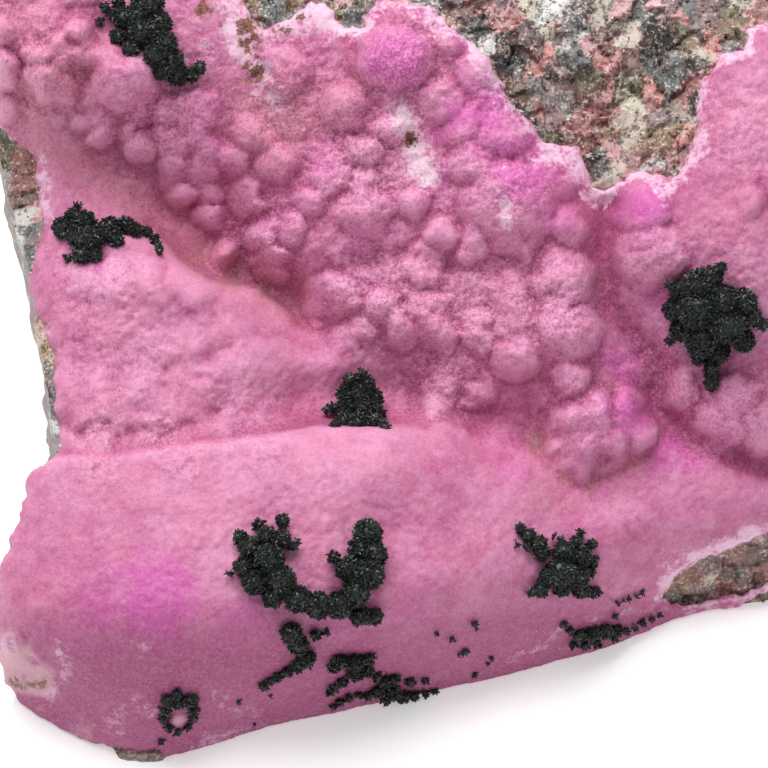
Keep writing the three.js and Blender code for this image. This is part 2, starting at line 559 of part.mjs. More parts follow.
// Everything straight above and below an outline of the growth face.
function columnThrough(outline) {
  const shape = new THREE.Shape(outline.map(([x, y]) => new THREE.Vector2(x, y)));
  const column = new THREE.ExtrudeGeometry(shape, { depth: -2 * DEEP, bevelEnabled: false });
  return solidOf(column.translate(0, 0, DEEP).applyMatrix4(FACE_TO_TABLE));
}

// The rock's plan at any height, between the listed ones, with its wall bent in and out.
function planAt(z, course) {
  const upper = z < ROCK_LEVELS[1].z ? 1 : 2;
  const [low, high] = [ROCK_LEVELS[upper - 1], ROCK_LEVELS[upper]];
  const share = (z - low.z) / (high.z - low.z);
  return low.plan.map(([x, y], i) => {
    const bend = x < LEFT_WALL ? 1 : 1 - (WALL_ROUGHNESS * scatter(i, course)) / Math.hypot(x, y);
    return new THREE.Vector2(
      bend * THREE.MathUtils.lerp(x, high.plan[i][0], share) + FACE_CENTRE.x,
      bend * THREE.MathUtils.lerp(y, high.plan[i][1], share) + FACE_CENTRE.y,
    );
  });
}

// The rock before its face is cut: its plans skinned with triangles.
function rockBlock() {
  const plans = ROCK_COURSES.map(planAt);
  const count = plans[0].length;
  const positions = plans.flatMap((plan, course) => plan.flatMap((p) => [p.x, p.y, ROCK_COURSES[course]]));
  const faces = [];
  for (let course = 0; course + 1 < plans.length; course++) {
    for (let i = 0; i < count; i++) {
      const [a, b] = [course * count + i, course * count + ((i + 1) % count)];
      if (scatter(i, course + 9) > 0.5) faces.push(a, b, b + count, a, b + count, a + count);
      else faces.push(a, b, a + count, b, b + count, a + count);
    }
  }
  for (const [course, turned] of [[0, true], [plans.length - 1, false]]) {
    for (const [a, b, c] of THREE.ShapeUtils.triangulateShape(plans[course], [])) {
      const corners = turned ? [c, b, a] : [a, b, c];
      faces.push(...corners.map((k) => k + course * count));
    }
  }
  return solidOf(
    new THREE.BufferGeometry()
      .setAttribute("position", new THREE.Float32BufferAttribute(positions, 3))
      .setIndex(faces),
  );
}

const moved = (solid, distance) => solid.translate(FACE_NORMAL.clone().multiplyScalar(distance).toArray());

const largest = (solid) => solid.decompose().sort((a, b) => b.volume() - a.volume())[0];

const underCrust = solidUnder(rockPoints(), rockSurface);
const underSurface = solidUnder(crustPoints(), crustSurface);

const matrixRock = rockBlock().intersect(underCrust);

const calciteCrust = underSurface
  .intersect(columnThrough(CRUST_EDGE))
  .subtract(moved(underCrust, SEAM))
  .trimByPlane([0, 0, 1], CRUST_FOOT);

// A tuft is its grains joined, cut off where it sits on the crust.
function tuftSolid(grains, number) {
  let tuft = null;
  grains.forEach(([right, up, radius, lift], i) => {
    const blocky = radius < BLOCKY_BELOW;
    const grain = blocky
      ? new THREE.OctahedronGeometry(BLOCKY_SIZE * radius)
      : new THREE.IcosahedronGeometry(radius);
    grain
      .rotateX(2 * Math.PI * scatter(number, i))
      .rotateZ(2 * Math.PI * scatter(i, number + 3))
      .scale(1, 1, TUFT_STRETCH)
      .translate(right, up, crustSurface(right, up) + SEAM + lift)
      .applyMatrix4(FACE_TO_TABLE);
    tuft = tuft ? tuft.add(solidOf(grain)) : solidOf(grain);
  });
  return largest(tuft.subtract(moved(underSurface, SEAM)).trimByPlane([0, 0, 1], CRUST_FOOT));
}

function namedMesh(name, solid, material) {
  const mesh = new THREE.Mesh(geometryOf(solid), material);
  mesh.name = name;
  return mesh;
}

const specimen = new THREE.Group();
specimen.add(namedMesh("matrix_rock", largest(matrixRock), MATRIX_ROCK));
specimen.add(namedMesh("calcite_crust", largest(calciteCrust), PINK_CALCITE));
Object.entries(TUFTS).forEach(([name, grains], number) => {
  specimen.add(namedMesh(name, tuftSolid(grains, number), DARK_MALACHITE));
});

export default specimen;
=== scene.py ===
# %% [markdown]
# # A cobaltoan calcite specimen
#
# The real object is a broken wedge of grey-brown rock. Hot water once left a pink crust of cobalt-bearing
# calcite over its front and slopes, and dark malachite then grew on the crust in spiky tufts.
#
# A crust like this could be sculpted by hand, or grown from metaballs. Here it is a relief: a height that
# stands out of a leaning plane, worked out as numbers on a fine grid. That keeps every lump where the measured
# part has it, and lets finer lumps grow on top by rule.

# %% Load the measured part
import math
import bpy
import numpy as np
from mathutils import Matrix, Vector


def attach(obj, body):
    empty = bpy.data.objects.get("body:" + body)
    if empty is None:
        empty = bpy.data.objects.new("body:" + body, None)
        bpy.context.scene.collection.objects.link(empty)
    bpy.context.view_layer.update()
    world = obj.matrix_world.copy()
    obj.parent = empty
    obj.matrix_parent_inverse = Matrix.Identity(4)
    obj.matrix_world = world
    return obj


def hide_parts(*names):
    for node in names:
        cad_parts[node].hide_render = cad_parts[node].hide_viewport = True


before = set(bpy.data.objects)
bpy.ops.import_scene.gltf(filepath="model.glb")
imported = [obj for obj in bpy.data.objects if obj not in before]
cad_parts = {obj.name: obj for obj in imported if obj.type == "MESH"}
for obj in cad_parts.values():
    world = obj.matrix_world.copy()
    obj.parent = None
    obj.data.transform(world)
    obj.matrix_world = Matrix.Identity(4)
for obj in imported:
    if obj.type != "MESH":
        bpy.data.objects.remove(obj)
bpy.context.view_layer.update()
MM = 0.001

# %% [markdown]
# ## The growth face
#
# The crust grew on a face that leans back from the front. Three directions describe it: right, up the slope,
# and straight out of it. A place on the face turns into a place on the table by adding the three directions.

# %% Turn face places into table places
slope = math.radians(35)
FACE_CENTRE = np.array([-5.8, -6.7, 19.7])
RIGHT = np.array([1.0, 0.0, 0.0])
UP = np.array([0.0, math.cos(slope), math.sin(slope)])
OUT = np.array([0.0, -math.sin(slope), math.cos(slope)])


def on_table(right, up, height):
    """Points on the table's axes, in mm, for places on the growth face."""
    right, up, height = np.broadcast_arrays(right, up, height)
    return FACE_CENTRE + right[..., None] * RIGHT + up[..., None] * UP + height[..., None] * OUT


def on_face(points):
    """Right, up and height of points given on the table's axes, in mm."""
    offset = points - FACE_CENTRE
    return offset @ RIGHT, offset @ UP, offset @ OUT


print("face centre on the table, mm:", FACE_CENTRE)

# %% [markdown]
# ## The landform
#
# Spot heights fix the broad shape, as on a map: a front wall, a ledge on top of it, a terrace and a valley
# behind, and a slope that climbs to the back. A thin bent plate through the spots is the smoothest surface
# that meets them all.

# %% Spot heights
SPOT_HEIGHTS = np.array([
    # foot of the front wall
    (-38, -31, -1), (-28.4, -36.4, 1.6), (-24, -37.2, 2.6), (-20, -36.9, 1.9), (-11.4, -34.4, 0),
    (0, -32, -1.6), (6.6, -30.6, -2.6), (17.6, -28, -4.4), (26.6, -25.2, -6.4), (33.6, -23, -7.9),
    (42, -22.4, -8.5),
    # brow, where the front wall turns into the ledge
    (-36, -23.5, 9.5), (-26, -23.8, 13.5), (-16, -23.6, 14), (-8, -22, 13.5), (0, -20.5, 12.5),
    (6.6, -19.5, 10.5), (12, -20.2, 7.5), (17.6, -21.4, 4), (22, -21.8, 0.5), (26, -21.5, -3),
    # ledge
    (-35, -16, 9.5), (-24, -16, 12.5), (-12, -15, 12.5), (0, -14, 10.5), (8, -13, 8), (16, -14, 5),
    (24, -14, 3), (32, -13.5, 1.5), (38, -17, -2),
    # back edge of the ledge
    (-34, -8.5, 7.5), (-27, -8, 8.5), (-18, -7.2, 9), (-8, -5.6, 8.5), (0, -5.2, 7.5), (7, -6, 4.5),
    # plain on the right
    (14, -8, 3), (22, -10.5, 1.5), (30, -9.5, 1.5), (38, -10, 0.5),
    # terrace on the left
    (-30, -2, 5), (-20, -2, 5.5), (-14, -1, 5), (-30, 6, 2.5), (-20, 6, 3.5), (-14, 4, 3.5), (-30, 14, 0),
    (-23, 12, 2), (-18, 9, 2.5), (-34, 3, 2),
    # saddle between the terrace and the middle
    (-11, 4, 1.5), (-9, -2, 3), (-5, 2, 0.5), (-3, -2.5, 2.5),
    # valley floor
    (-37, 27, -3), (-32, 22, -3.5), (-27, 20, -4.5), (-22, 17.5, -5), (-17, 13.5, -5), (-13, 11, -4.5),
    (-9.5, 8, -3.5), (-6, 5.5, -2), (3, -1, -1), (9, -4, -0.5), (15, -6, -0.5),
    # upper slope
    (-37, 35, 3), (-33, 31, 2.5), (-28, 36, 2), (-24, 31, 1.5), (-26, 26, -2), (-19, 24, -2), (-14, 28, -0.5),
    (-10, 20, -0.5), (-8, 13, 0), (-9, 32, 0.5), (0, 32, 2.5), (4, 24, 2.5), (-2, 20, 1.5), (0, 13, 1.5),
    (-1, 7, 1), (6, 8, 1.5), (9, 14, 2), (12, 20, 4), (11, 28, 4), (6, 2, 0.5), (12, 6, 2), (12, 0, 1),
    (18, 4, 3), (18, 12, 3), (20, -3, 1.5),
    # lobe on the right
    (26, 0, 0.5), (26, 8, 2.5), (30, 14, 6), (36, 9, 6.5), (36, 2, 3.5), (36, -4, 1.5), (30, -5, 1),
    (37, 18, 7), (34, 24, 6), (37, 31, 5),
    # bare rock at the top
    (22, 23, 2.5), (15, 30, 3), (22, 34, 2.5), (28, 28, 3), (5, 39, 2.5),
    # past the right and the top
    (45, 16, 3.5), (46, 4, 0), (46, -7, -4), (54, 8, -7), (54, 24, -5), (46, 30, 1.5), (56, -6, -14),
    (-42, 42, -4), (-45, 32, -6), (-30, 44, -1.5), (-14, 44, -1.5), (6, 46, -1.5), (24, 45, -1.5), (38, 42, -2),
    (50, 42, -10), (-36, 54, -12), (0, 55, -9), (30, 54, -10),
])
print("spot heights:", len(SPOT_HEIGHTS))


# %% Bend a thin plate through the spots
def plate_kernel(distance):
    """How much one spot bends the plate at a distance."""
    return distance ** 2 * np.log(np.maximum(distance, 1e-9))


spot_places = SPOT_HEIGHTS[:, :2]
spot_gaps = np.linalg.norm(spot_places[:, None] - spot_places[None], axis=2)
level_part = np.column_stack([np.ones(len(spot_places)), spot_places])
system = np.block([[plate_kernel(spot_gaps), level_part], [level_part.T, np.zeros((3, 3))]])
plate = np.linalg.solve(system, np.append(SPOT_HEIGHTS[:, 2], [0, 0, 0]))


def landform(right, up):
    """Height of the plate through the spots."""
    height = plate[-3] + plate[-2] * right + plate[-1] * up
    for (x, y), weight in zip(spot_places, plate):
        height = height + weight * plate_kernel(np.hypot(right - x, up - y))
    return height


print("height at the face's centre, mm:", round(float(landform(0, 0)), 2))

# %% [markdown]
# ## Scarps and grooves
#
# The ledge hides the ground just behind it, and the terrace drops into the valley. A smooth plate can't turn
# that sharply, so each such line lowers the ground on its upper side. Grooves are lines that lower both sides.

# %% Scarps and grooves
SCARPS = [
    # behind the ledge: reach, then right, up and drop along the line
    (7, [(-37, -8, 0.9), (-33, -7.6, 0.8), (-26, -7.3, 0.9), (-18.4, -6.3, 1.3), (-10.4, -5.3, 2.2),
         (-6.4, -4.6, 3.2), (0, -4.6, 2.8), (2, -4.7, 1.6), (5, -5.4, 0)]),
    # from the terrace into the valley
    (5, [(-27, 15.6, 0), (-23.5, 15, 1.5), (-21, 12.2, 3), (-17.6, 9.8, 3), (-12.8, 9.2, 3), (-9.6, 6.6, 1.5),
         (-8, 5, 0)]),
]
SCARP_WIDTH = 0.9
GROOVES = [
    # deepest, half width, line
    (2.4, 1.7, [(22.6, 17.6), (21.8, 12.5), (22.5, 8), (25, 5), (27.6, 1.5), (27, -2.5), (31, -5.6), (36, -7.6),
                (41, -9.6)]),
    (0.45, 0.9, [(-21.6, 1.4), (-18, 2.5), (-15.4, 3.7)]),
    (0.4, 0.7, [(-32, -3.8), (-30, -4.9), (-28.2, -4.2), (-26.4, -5.4), (-24, -4.6), (-22, -5.1), (-19.6, -4.1),
                (-17.6, -3.9), (-15.8, -2)]),
    (1.2, 1.3, [(-2.6, 12.2), (2, 12.6), (6, 11.6)]),
    (0.7, 1.1, [(-8.4, 6.2), (-3.8, 6.4)]),
]


def smooth_step(t):
    """0 below 0, 1 above 1, and a smooth climb between."""
    t = np.clip(t, 0, 1)
    return t * t * (3 - 2 * t)


def near_line(right, up, line):
    """Distance to a line of points, whether a place is on its upper side, and the value on the line there."""
    distance = np.full(np.shape(right), np.inf)
    above = np.zeros(np.shape(right), bool)
    value = np.zeros(np.shape(right))
    for start, end in zip(line, line[1:]):
        along = np.subtract(end[:2], start[:2])
        dx, dy = right - start[0], up - start[1]
        t = np.clip((dx * along[0] + dy * along[1]) / (along @ along), 0, 1)
        gap = np.hypot(dx - t * along[0], dy - t * along[1])
        closer = gap < distance
        distance = np.where(closer, gap, distance)
        above = np.where(closer, along[0] * dy - along[1] * dx > 0, above)
        if len(start) > 2:
            value = np.where(closer, start[2] + t * (end[2] - start[2]), value)
    return distance, above, value


def scarp_fall(right, up):
    """How far the scarps lower the ground."""
    fall = 0
    for reach, line in SCARPS:
        distance, above, drop = near_line(right, up, line)
        profile = smooth_step(distance / SCARP_WIDTH) * (1 - smooth_step((distance - SCARP_WIDTH) / reach))
        fall = fall + above * drop * profile
    return fall


def groove_depth(right, up):
    """How far the grooves lower the ground."""
    depth = 0
    for deepest, half_width, line in GROOVES:
        depth = depth + deepest * np.exp(-(near_line(right, up, line)[0] / half_width) ** 2)
    return depth


print("scarps:", len(SCARPS), "grooves:", len(GROOVES))

# %% [markdown]
# ## The grid
#
# Heights are kept on a grid over the face. Its lines are close together where the front view shows the crust
# and wider where the specimen was finished by guess, so that the detail goes where it is seen.


# %% Grid over the growth face
def lines_over(*stretches):
    """Grid lines over stretches of (start, end, spacing)."""
    parts = [np.linspace(start, end, round((end - start) / gap), endpoint=False)
             for start, end, gap in stretches]
    return np.append(np.concatenate(parts), stretches[-1][1])


x_lines = lines_over((-47, -39, 0.55), (-39, 39, 0.27), (39, 59, 0.55))
y_lines = lines_over((-42, -38.4, 0.5), (-38.4, 38.6, 0.27), (38.6, 50, 0.55))
grid_right, grid_up = np.meshgrid(x_lines, y_lines)
print("grid:", grid_right.shape)


def sample(values, right, up):
    """Value of a grid at any places, blended between its four nearest points."""
    i = np.clip(np.searchsorted(x_lines, right) - 1, 0, len(x_lines) - 2)
    j = np.clip(np.searchsorted(y_lines, up) - 1, 0, len(y_lines) - 2)
    s = np.clip((right - x_lines[i]) / (x_lines[i + 1] - x_lines[i]), 0, 1)
    t = np.clip((up - y_lines[j]) / (y_lines[j + 1] - y_lines[j]), 0, 1)
    low = values[j, i] * (1 - s) + values[j, i + 1] * s
    high = values[j + 1, i] * (1 - s) + values[j + 1, i + 1] * s
    return low * (1 - t) + high * t


# %% Noise on the grid
TABLE_SIDE = 128


def entry(table, i, j):
    """Values of a table that repeats in both directions."""
    return table[j % TABLE_SIDE, i % TABLE_SIDE]


def soft_noise(x, y, size, seed):
    """Smooth noise from -1 to 1 with features of about a size."""
    table = np.random.default_rng(seed).uniform(-1, 1, (TABLE_SIDE, TABLE_SIDE))
    i, j = np.floor(x / size).astype(int), np.floor(y / size).astype(int)
    s, t = smooth_step(x / size - i), smooth_step(y / size - j)
    low = entry(table, i, j) * (1 - s) + entry(table, i + 1, j) * s
    high = entry(table, i, j + 1) * (1 - s) + entry(table, i + 1, j + 1) * s
    return low * (1 - t) + high * t


def facets(x, y, size, seed):
    """Broken rock: heights from -1 to 1 at the corners of a triangle net, with flat faces between."""
    random = np.random.default_rng(seed)
    table, turn = random.uniform(-1, 1, (TABLE_SIDE, TABLE_SIDE)), random.uniform(0, math.pi)
    push = [0.3 * size * soft_noise(x, y, 1.3 * size, seed + k) for k in (0, 1)]
    x, y = x + push[0], y + push[1]
    u, v = (x * math.cos(turn) + y * math.sin(turn)) / size, (y * math.cos(turn) - x * math.sin(turn)) / size
    u = u + 0.5 * v
    i, j = np.floor(u).astype(int), np.floor(v).astype(int)
    s, t = u - i, v - j
    upper = s + t > 1
    near = entry(table, i + upper, j + upper)
    along, across = entry(table, i + 1 - upper, j + upper), entry(table, i + upper, j + 1 - upper)
    s, t = np.where(upper, 1 - s, s), np.where(upper, 1 - t, t)
    return near + s * (along - near) + t * (across - near)


# %% [markdown]
# ## The crust's edge
#
# The crust is broken off along an outline. Inside it the crust has its full height, and near the outline it
# rounds down to the rock in a thin lip. It follows the outline of the measured part, a little ragged.

# %% Edge of the crust
CRUST_EDGE = np.array([
    (-38.6, -27), (-38.2, -30), (-36.8, -32.4), (-34.6, -34.5), (-32, -35.6), (-28.9, -35.9), (-22.8, -36.6),
    (-21.5, -40), (20, -33), (29.9, -26.2), (32.9, -23.6), (35.2, -22.9), (38.4, -21.3), (42, -18.6),
    (38.4, -20.1), (36.2, -21.2), (34, -22), (31.8, -22.2), (27.6, -21.7), (29, -19.8), (31.6, -17.6),
    (36, -15.8), (38.4, -15), (44, -12), (50, -8.5), (54, -2), (56, 8), (55.6, 18), (53, 28), (49, 34.5),
    (44, 37.6), (38.4, 35.8), (36.2, 35.2), (36, 33), (33.6, 32), (31.8, 30.4), (31.2, 27), (30.8, 23.5),
    (30, 21.5), (28.5, 20.2), (25.5, 21.2), (22.2, 19.2), (20.6, 19.5), (19.7, 21.3), (19.2, 23.4),
    (16.2, 23.9), (14.8, 25.8), (12.3, 29), (10.6, 32.2), (8.7, 34.6), (5.8, 35.7), (4.3, 37.9), (1.6, 38.6),
    (-0.9, 38.2), (-1.9, 35.6), (-3.9, 35.3), (-5.9, 37.4), (-7.2, 38), (-9.4, 36.2), (-12.2, 35.7),
    (-13.9, 37.4), (-15.4, 41), (-20, 44.5), (-27, 46.5), (-36, 46), (-42.6, 43), (-44.4, 37), (-42.4, 31),
    (-38.4, 24.8), (-35.6, 22.9), (-35.6, 20.8), (-35, 18.4), (-34.5, 16), (-35.2, 13.4), (-35.5, 10.6),
    (-35.1, 7.2), (-33.2, 3.2), (-33, 0.8), (-32.6, -2.6), (-32.3, -6), (-33.2, -7.8), (-34.9, -8.3),
    (-35.4, -11), (-36.6, -14.2), (-37.8, -18), (-38.7, -22),
])
RAGGED_STEP = 0.35
RAGGEDNESS = 0.75
RAGGED_WAVES = ((0.45, 3.1), (0.35, 1.4), (0.3, 0.6))  # share, length


def ragged(outline, step, amount, seed):
    """The outline in short steps, each pushed in or out a little."""
    closed = np.vstack([outline, outline[:1]])
    lengths = np.append(0, np.cumsum(np.linalg.norm(np.diff(closed, axis=0), axis=1)))
    stations = np.linspace(0, lengths[-1], int(lengths[-1] / step), endpoint=False)
    line = np.column_stack([np.interp(stations, lengths, closed[:, k]) for k in (0, 1)])
    ahead = np.roll(line, -1, axis=0) - np.roll(line, 1, axis=0)
    normal = np.column_stack([ahead[:, 1], -ahead[:, 0]]) / np.linalg.norm(ahead, axis=1)[:, None]
    push = sum(share * soft_noise(stations, 0 * stations, size, seed + k)
               for k, (share, size) in enumerate(RAGGED_WAVES))
    return line + amount * push[:, None] * normal


def inside(right, up, outline):
    """Distance inside an outline, negative outside it."""
    closed = np.vstack([outline, outline[:1]])
    distance = near_line(right, up, closed)[0]
    within = np.zeros(np.shape(right), bool)
    for (ax, ay), (bx, by) in zip(closed, closed[1:]):
        crossed = (ay > up) != (by > up)
        if by != ay:
            within ^= crossed & (right < ax + (up - ay) * (bx - ax) / (by - ay))
    return np.where(within, distance, -distance)


edge_line = ragged(CRUST_EDGE, RAGGED_STEP, RAGGEDNESS, 3)
grid_inside = inside(grid_right, grid_up, edge_line)
print("edge points:", len(edge_line), "covered share of the grid:", round(float((grid_inside > 0).mean()), 2))

# %% [markdown]
# ## Lumps
#
# Botryoidal means like a bunch of grapes: each lump grew as a ball from its own seed, and neighbours pressed
# into each other along tight creases. The large lumps are placed one by one. The small ones are scattered by
# rule, more strongly on the slopes than on the smooth ledge. Lumps join as a sum of powers, so the highest one
# leads and the crease between two stays sharp.

# %% Large lumps
LUMPS = [
    # upper left: right, up, radius, how far it stands out
    (-37.9, 31.2, 1.9, 2.1), (-38.2, 34.8, 1.6, 1.6), (-38.2, 27.5, 1.2, 1.2), (-34.2, 32.4, 1.4, 1.6),
    (-33.6, 30, 1.9, 2.6), (-31.8, 29.2, 1.4, 1.6), (-32.4, 33.6, 1.4, 1.3), (-31.7, 31.9, 1.4, 1.4),
    (-30.1, 32.4, 1.3, 1.3), (-30.4, 34.9, 1.4, 1.7), (-29.2, 33.8, 1.2, 1.2), (-27.4, 32.2, 2.2, 1.7),
    (-25.8, 30, 3.2, 2.9), (-23.8, 31.3, 1.8, 1.3), (-28.9, 28.9, 1.1, 1.2), (-28.5, 27, 1.5, 1.4),
    (-30.1, 26.2, 1.1, 0.9), (-26.9, 26.6, 1.1, 1), (-28.3, 25.1, 1.5, 1.7), (-24.8, 26.8, 1.6, 1.3),
    (-25.9, 25.2, 1.3, 1.6), (-24.6, 23.5, 1.7, 2.3), (-21.2, 27.2, 2.1, 1.2), (-18.5, 27.3, 1.8, 1),
    (-21.6, 24, 2.1, 1.6), (-19.2, 25.2, 1.7, 1.2), (-17.8, 23.6, 1.7, 1.2), (-21.1, 21.7, 2, 1.6),
    (-18.5, 21.4, 2, 1.3), (-20.2, 19.2, 1.4, 1.8), (-17.8, 19.2, 1.6, 1.3), (-17.5, 17, 1.6, 1.2),
    (-15.2, 22.4, 2, 1.2), (-13.6, 19, 2, 1.2), (-10.8, 22.4, 2.1, 1.4), (-12.9, 24.9, 1.9, 1.3),
    (-9.8, 31.3, 2, 1.3),
    # small balls over the valley
    (-15.9, 12.9, 1.5, 1.9), (-12.2, 14.4, 1.8, 1.9), (-11.3, 12.2, 2.1, 2.2), (-9.4, 15.2, 1.6, 1.3),
    (-7.4, 18, 1.8, 1.1),
    # middle
    (-4, 27.8, 2.3, 1.7), (1.1, 32.4, 3.1, 2.3), (-2.2, 23.2, 1.5, 1), (0.2, 25.4, 1.7, 1.1),
    (-5.2, 20.6, 2, 1), (-1.8, 17.4, 2.6, 1.5), (2.9, 17.8, 1.6, 1.1), (5.6, 14.9, 1.5, 1.3),
    (8.8, 13.8, 1.9, 1.3), (4.1, 11.8, 2.2, 1.3), (-5.4, 8.4, 2.7, 1.5), (-0.4, 7.6, 1.8, 1),
    (4.6, 7.4, 2.1, 1.1), (1.6, 5.4, 1.9, 1.3), (5.2, 5, 2, 1.4), (-3.4, 5.2, 2, 0.8), (5.6, -1, 1.8, 0.9),
    (9.2, -1.2, 1.6, 0.8), (9.6, 5, 1.8, 0.8),
    # top of the slope
    (8, 25.4, 2, 1), (8.7, 21.9, 2.2, 1.2), (11.8, 24.8, 2.1, 1), (9.4, 31.4, 2.2, 0.9), (5.6, 28.2, 2, 0.8),
    (6.2, 34, 1.8, 0.8), (-2.2, 20.2, 1.6, 0.9),
    # terrace: its knobbly back edge, the band above the groove, and two broad swellings
    (-33.2, 9.4, 1.8, 0.35), (-30.5, 10.6, 2, 0.5), (-27.2, 9.8, 2.4, 0.55), (-23.4, 10.1, 2.2, 0.6),
    (-20.7, 10.7, 1.6, 0.5), (-18.6, 9.5, 1.9, 0.5), (-14.3, 7.6, 2.6, 0.6), (-11.6, 6.8, 1.7, 0.4),
    (-31.6, 6.4, 2.2, 0.3), (-27.6, 5.9, 2.4, 0.35), (-31.4, -0.6, 2.2, 0.45), (-28.6, -1.7, 2.6, 0.5),
    (-24.3, -1.5, 2.8, 0.45), (-20.8, -2.2, 2, 0.45), (-18.4, -1, 1.6, 0.3), (-20.4, 3.6, 3, 0.35),
    # under the bare rock
    (12.6, 17.4, 4.4, 2.1), (16.4, 20.2, 2.4, 0.9), (18.2, 15.9, 2.2, 1.2), (18, 10.4, 2.9, 1.6),
    (12.4, 8.4, 2.5, 1.2), (13.2, 5.8, 2.2, 1.1), (12.9, 2.7, 2.3, 1.5), (17.9, 5.2, 3.3, 1.9),
    (18.8, 0.6, 2.2, 1.5),
    # the broad lump at the foot of the slope, with its knobs
    (20.3, -5, 4.1, 2.2), (24.2, -4.4, 2.7, 1.7), (18.5, -3.5, 1.7, 2.3), (21.3, -2.9, 1.7, 2.2),
    (19.9, -6.5, 1.8, 2.3), (22.7, -6, 1.7, 2.1), (24.6, -2.6, 1.7, 2), (25.5, -5.6, 1.5, 1.6),
    (17.2, -6.2, 1.4, 1.5),
    # right
    (25.6, 17.4, 2.8, 1.3), (26.4, 12.8, 3.2, 1.5), (36.4, 18, 1.4, 0.6), (35, -1.4, 2.5, 1.3),
    (33.4, -4.2, 2.4, 1.3), (37.6, -4.6, 2.4, 1.2), (29.8, -0.6, 2, 0.8), (43.2, 6, 2.9, 0.66),
    (47.4, 12.4, 2.8, 0.66), (43.8, -3.2, 2.7, 0.66), (50.2, 3.4, 2.4, 0.6), (48.6, 21.2, 2.8, 0.6),
    (42, 25.2, 2.6, 0.54), (41.2, 1.8, 2.1, 0.54), (45.6, 2.4, 1.7, 0.48), (41, 9.4, 1.9, 0.42),
    (44.4, 10.6, 1.6, 0.36), (48.8, 8.2, 2.3, 0.54), (51.6, 12, 2.2, 0.48), (44, 16.4, 2.6, 0.48),
    (47.6, 16.8, 1.8, 0.42), (51, 17.4, 2, 0.48), (45.2, 21, 2, 0.42), (40, 20.4, 2.2, 0.36),
    (45.6, 26.4, 2.4, 0.48), (49, 26, 2, 0.48), (44.8, 31, 2.4, 0.48), (40.6, 30.6, 2, 0.36),
    (52.6, 6.6, 2, 0.48), (47.4, -2.4, 2.2, 0.54), (40.6, -6.6, 2, 0.54), (48.4, -5.6, 1.8, 0.42),
    (50.6, -1.6, 1.9, 0.48), (52.6, 22.6, 2, 0.42),
    # past the top left
    (-41, 38, 2.6, 1.3), (-36, 41, 2.8, 1.4), (-30, 40.6, 2.6, 1.1),
    # the pale knob at the left end and the lump inside the ring-shaped tuft
    (-37, -26.1, 1.5, 0.9), (-20.1, -33.5, 0.9, 0.6),
]
LUMP_RELIEF = 1.05
LUMP_FULLNESS = 0.85
LUMP_SPREAD = 1.16
LUMP_JOIN = 6
SHOULDER_WIDTH, SHOULDER_HEIGHT = 1.8, 0.32
SHOULDER_FULLNESS, SHOULDER_JOIN = 1.6, 2


def bend(size, amount, seed):
    """The grid's places pushed about by noise, so that what is drawn on them loses its round outline."""
    push = [amount * soft_noise(grid_right, grid_up, size, seed + k) for k in (0, 1)]
    return grid_right + push[0], grid_up + push[1]


def raise_lumps(lumps, places, reach, fullness=LUMP_FULLNESS, join=LUMP_JOIN):
    """Heights of many lumps on the grid; reach is how far the places are pushed."""
    pile = np.zeros_like(grid_right)
    for x, y, radius, height in lumps:
        wide = radius + reach
        i0, i1 = np.searchsorted(x_lines, (x - wide, x + wide))
        j0, j1 = np.searchsorted(y_lines, (y - wide, y + wide))
        dx, dy = (grid[j0:j1, i0:i1] - centre for grid, centre in zip(places, (x, y)))
        share = np.clip(1 - (dx * dx + dy * dy) / radius ** 2, 0, None)
        pile[j0:j1, i0:i1] += (height * share ** fullness) ** join
    return pile ** (1 / join)


lump_places = [(a + b) / 2 for a, b in zip(bend(2.4, 1.1, 5), bend(1.1, 0.45, 7))]
shoulders = [(x, y, SHOULDER_WIDTH * radius, SHOULDER_HEIGHT * height) for x, y, radius, height in LUMPS]
wide_lumps = [(x, y, LUMP_SPREAD * radius, height) for x, y, radius, height in LUMPS]
large_lumps = LUMP_RELIEF * raise_lumps(wide_lumps, lump_places, 1)
large_lumps += raise_lumps(shoulders, lump_places, 1, SHOULDER_FULLNESS, SHOULDER_JOIN)
print("large lumps:", len(LUMPS), "highest, mm:", round(float(large_lumps.max()), 2))

# %% Where the crust is bumpy
BUMPINESS = [
    # right, up, radius, strength
    (-34, 31, 7, 0.7), (-22, 27, 8, 0.8), (-10, 28, 8, 0.7), (-12, 15, 6, 0.85), (-2, 22, 8, 1),
    (0, 10, 7, 0.9), (8, 8, 7, 0.85), (10, 20, 7, 0.75), (16, 8, 7, 0.9), (20, -2, 6, 0.6), (6, 1, 5, 0.9),
    (28, 2, 6, 0.7), (34, -3, 6, 0.7), (27, 13, 5, 0.5), (35, 12, 7, 0.32), (-28, 11, 6, 0.5),
    (-14, -3, 6, 0.45), (-26, 2, 8, 0.42), (-28, -4.6, 2.6, 0.85), (-22, -4.6, 2.6, 0.8), (36, 25, 7, 0.45),
    (-28, -8.2, 3, 0.5), (-20, -7.4, 3, 0.5), (-12, -6, 3, 0.45), (46, 8, 9, 0.6), (48, 24, 8, 0.6),
    (-40, 40, 7, 0.7), (-26, 40, 7, 0.7), (12, 29, 5, 0.7), (2, 31, 6, 0.9),
]
EVERYWHERE = 0.14


def mound(x, y, radius):
    """1 at a place on the grid, fading out over a radius."""
    return np.exp(-((grid_right - x) ** 2 + (grid_up - y) ** 2) / radius ** 2)


def spread(patches, floor=0.0):
    """Strength of round patches on the grid, the strongest one leading."""
    value = np.full_like(grid_right, floor)
    for x, y, radius, strength in patches:
        value = np.maximum(value, strength * mound(x, y, radius))
    return value


def from_line(line):
    """Distance of each place on the grid from a line."""
    return near_line(grid_right, grid_up, line)[0]


bumpiness = spread(BUMPINESS, EVERYWHERE)
print("bumpiness, mean:", round(float(bumpiness.mean()), 2))


# %% Small lumps
LUMP_SHAKE = 0.55
LEVELLING = 10


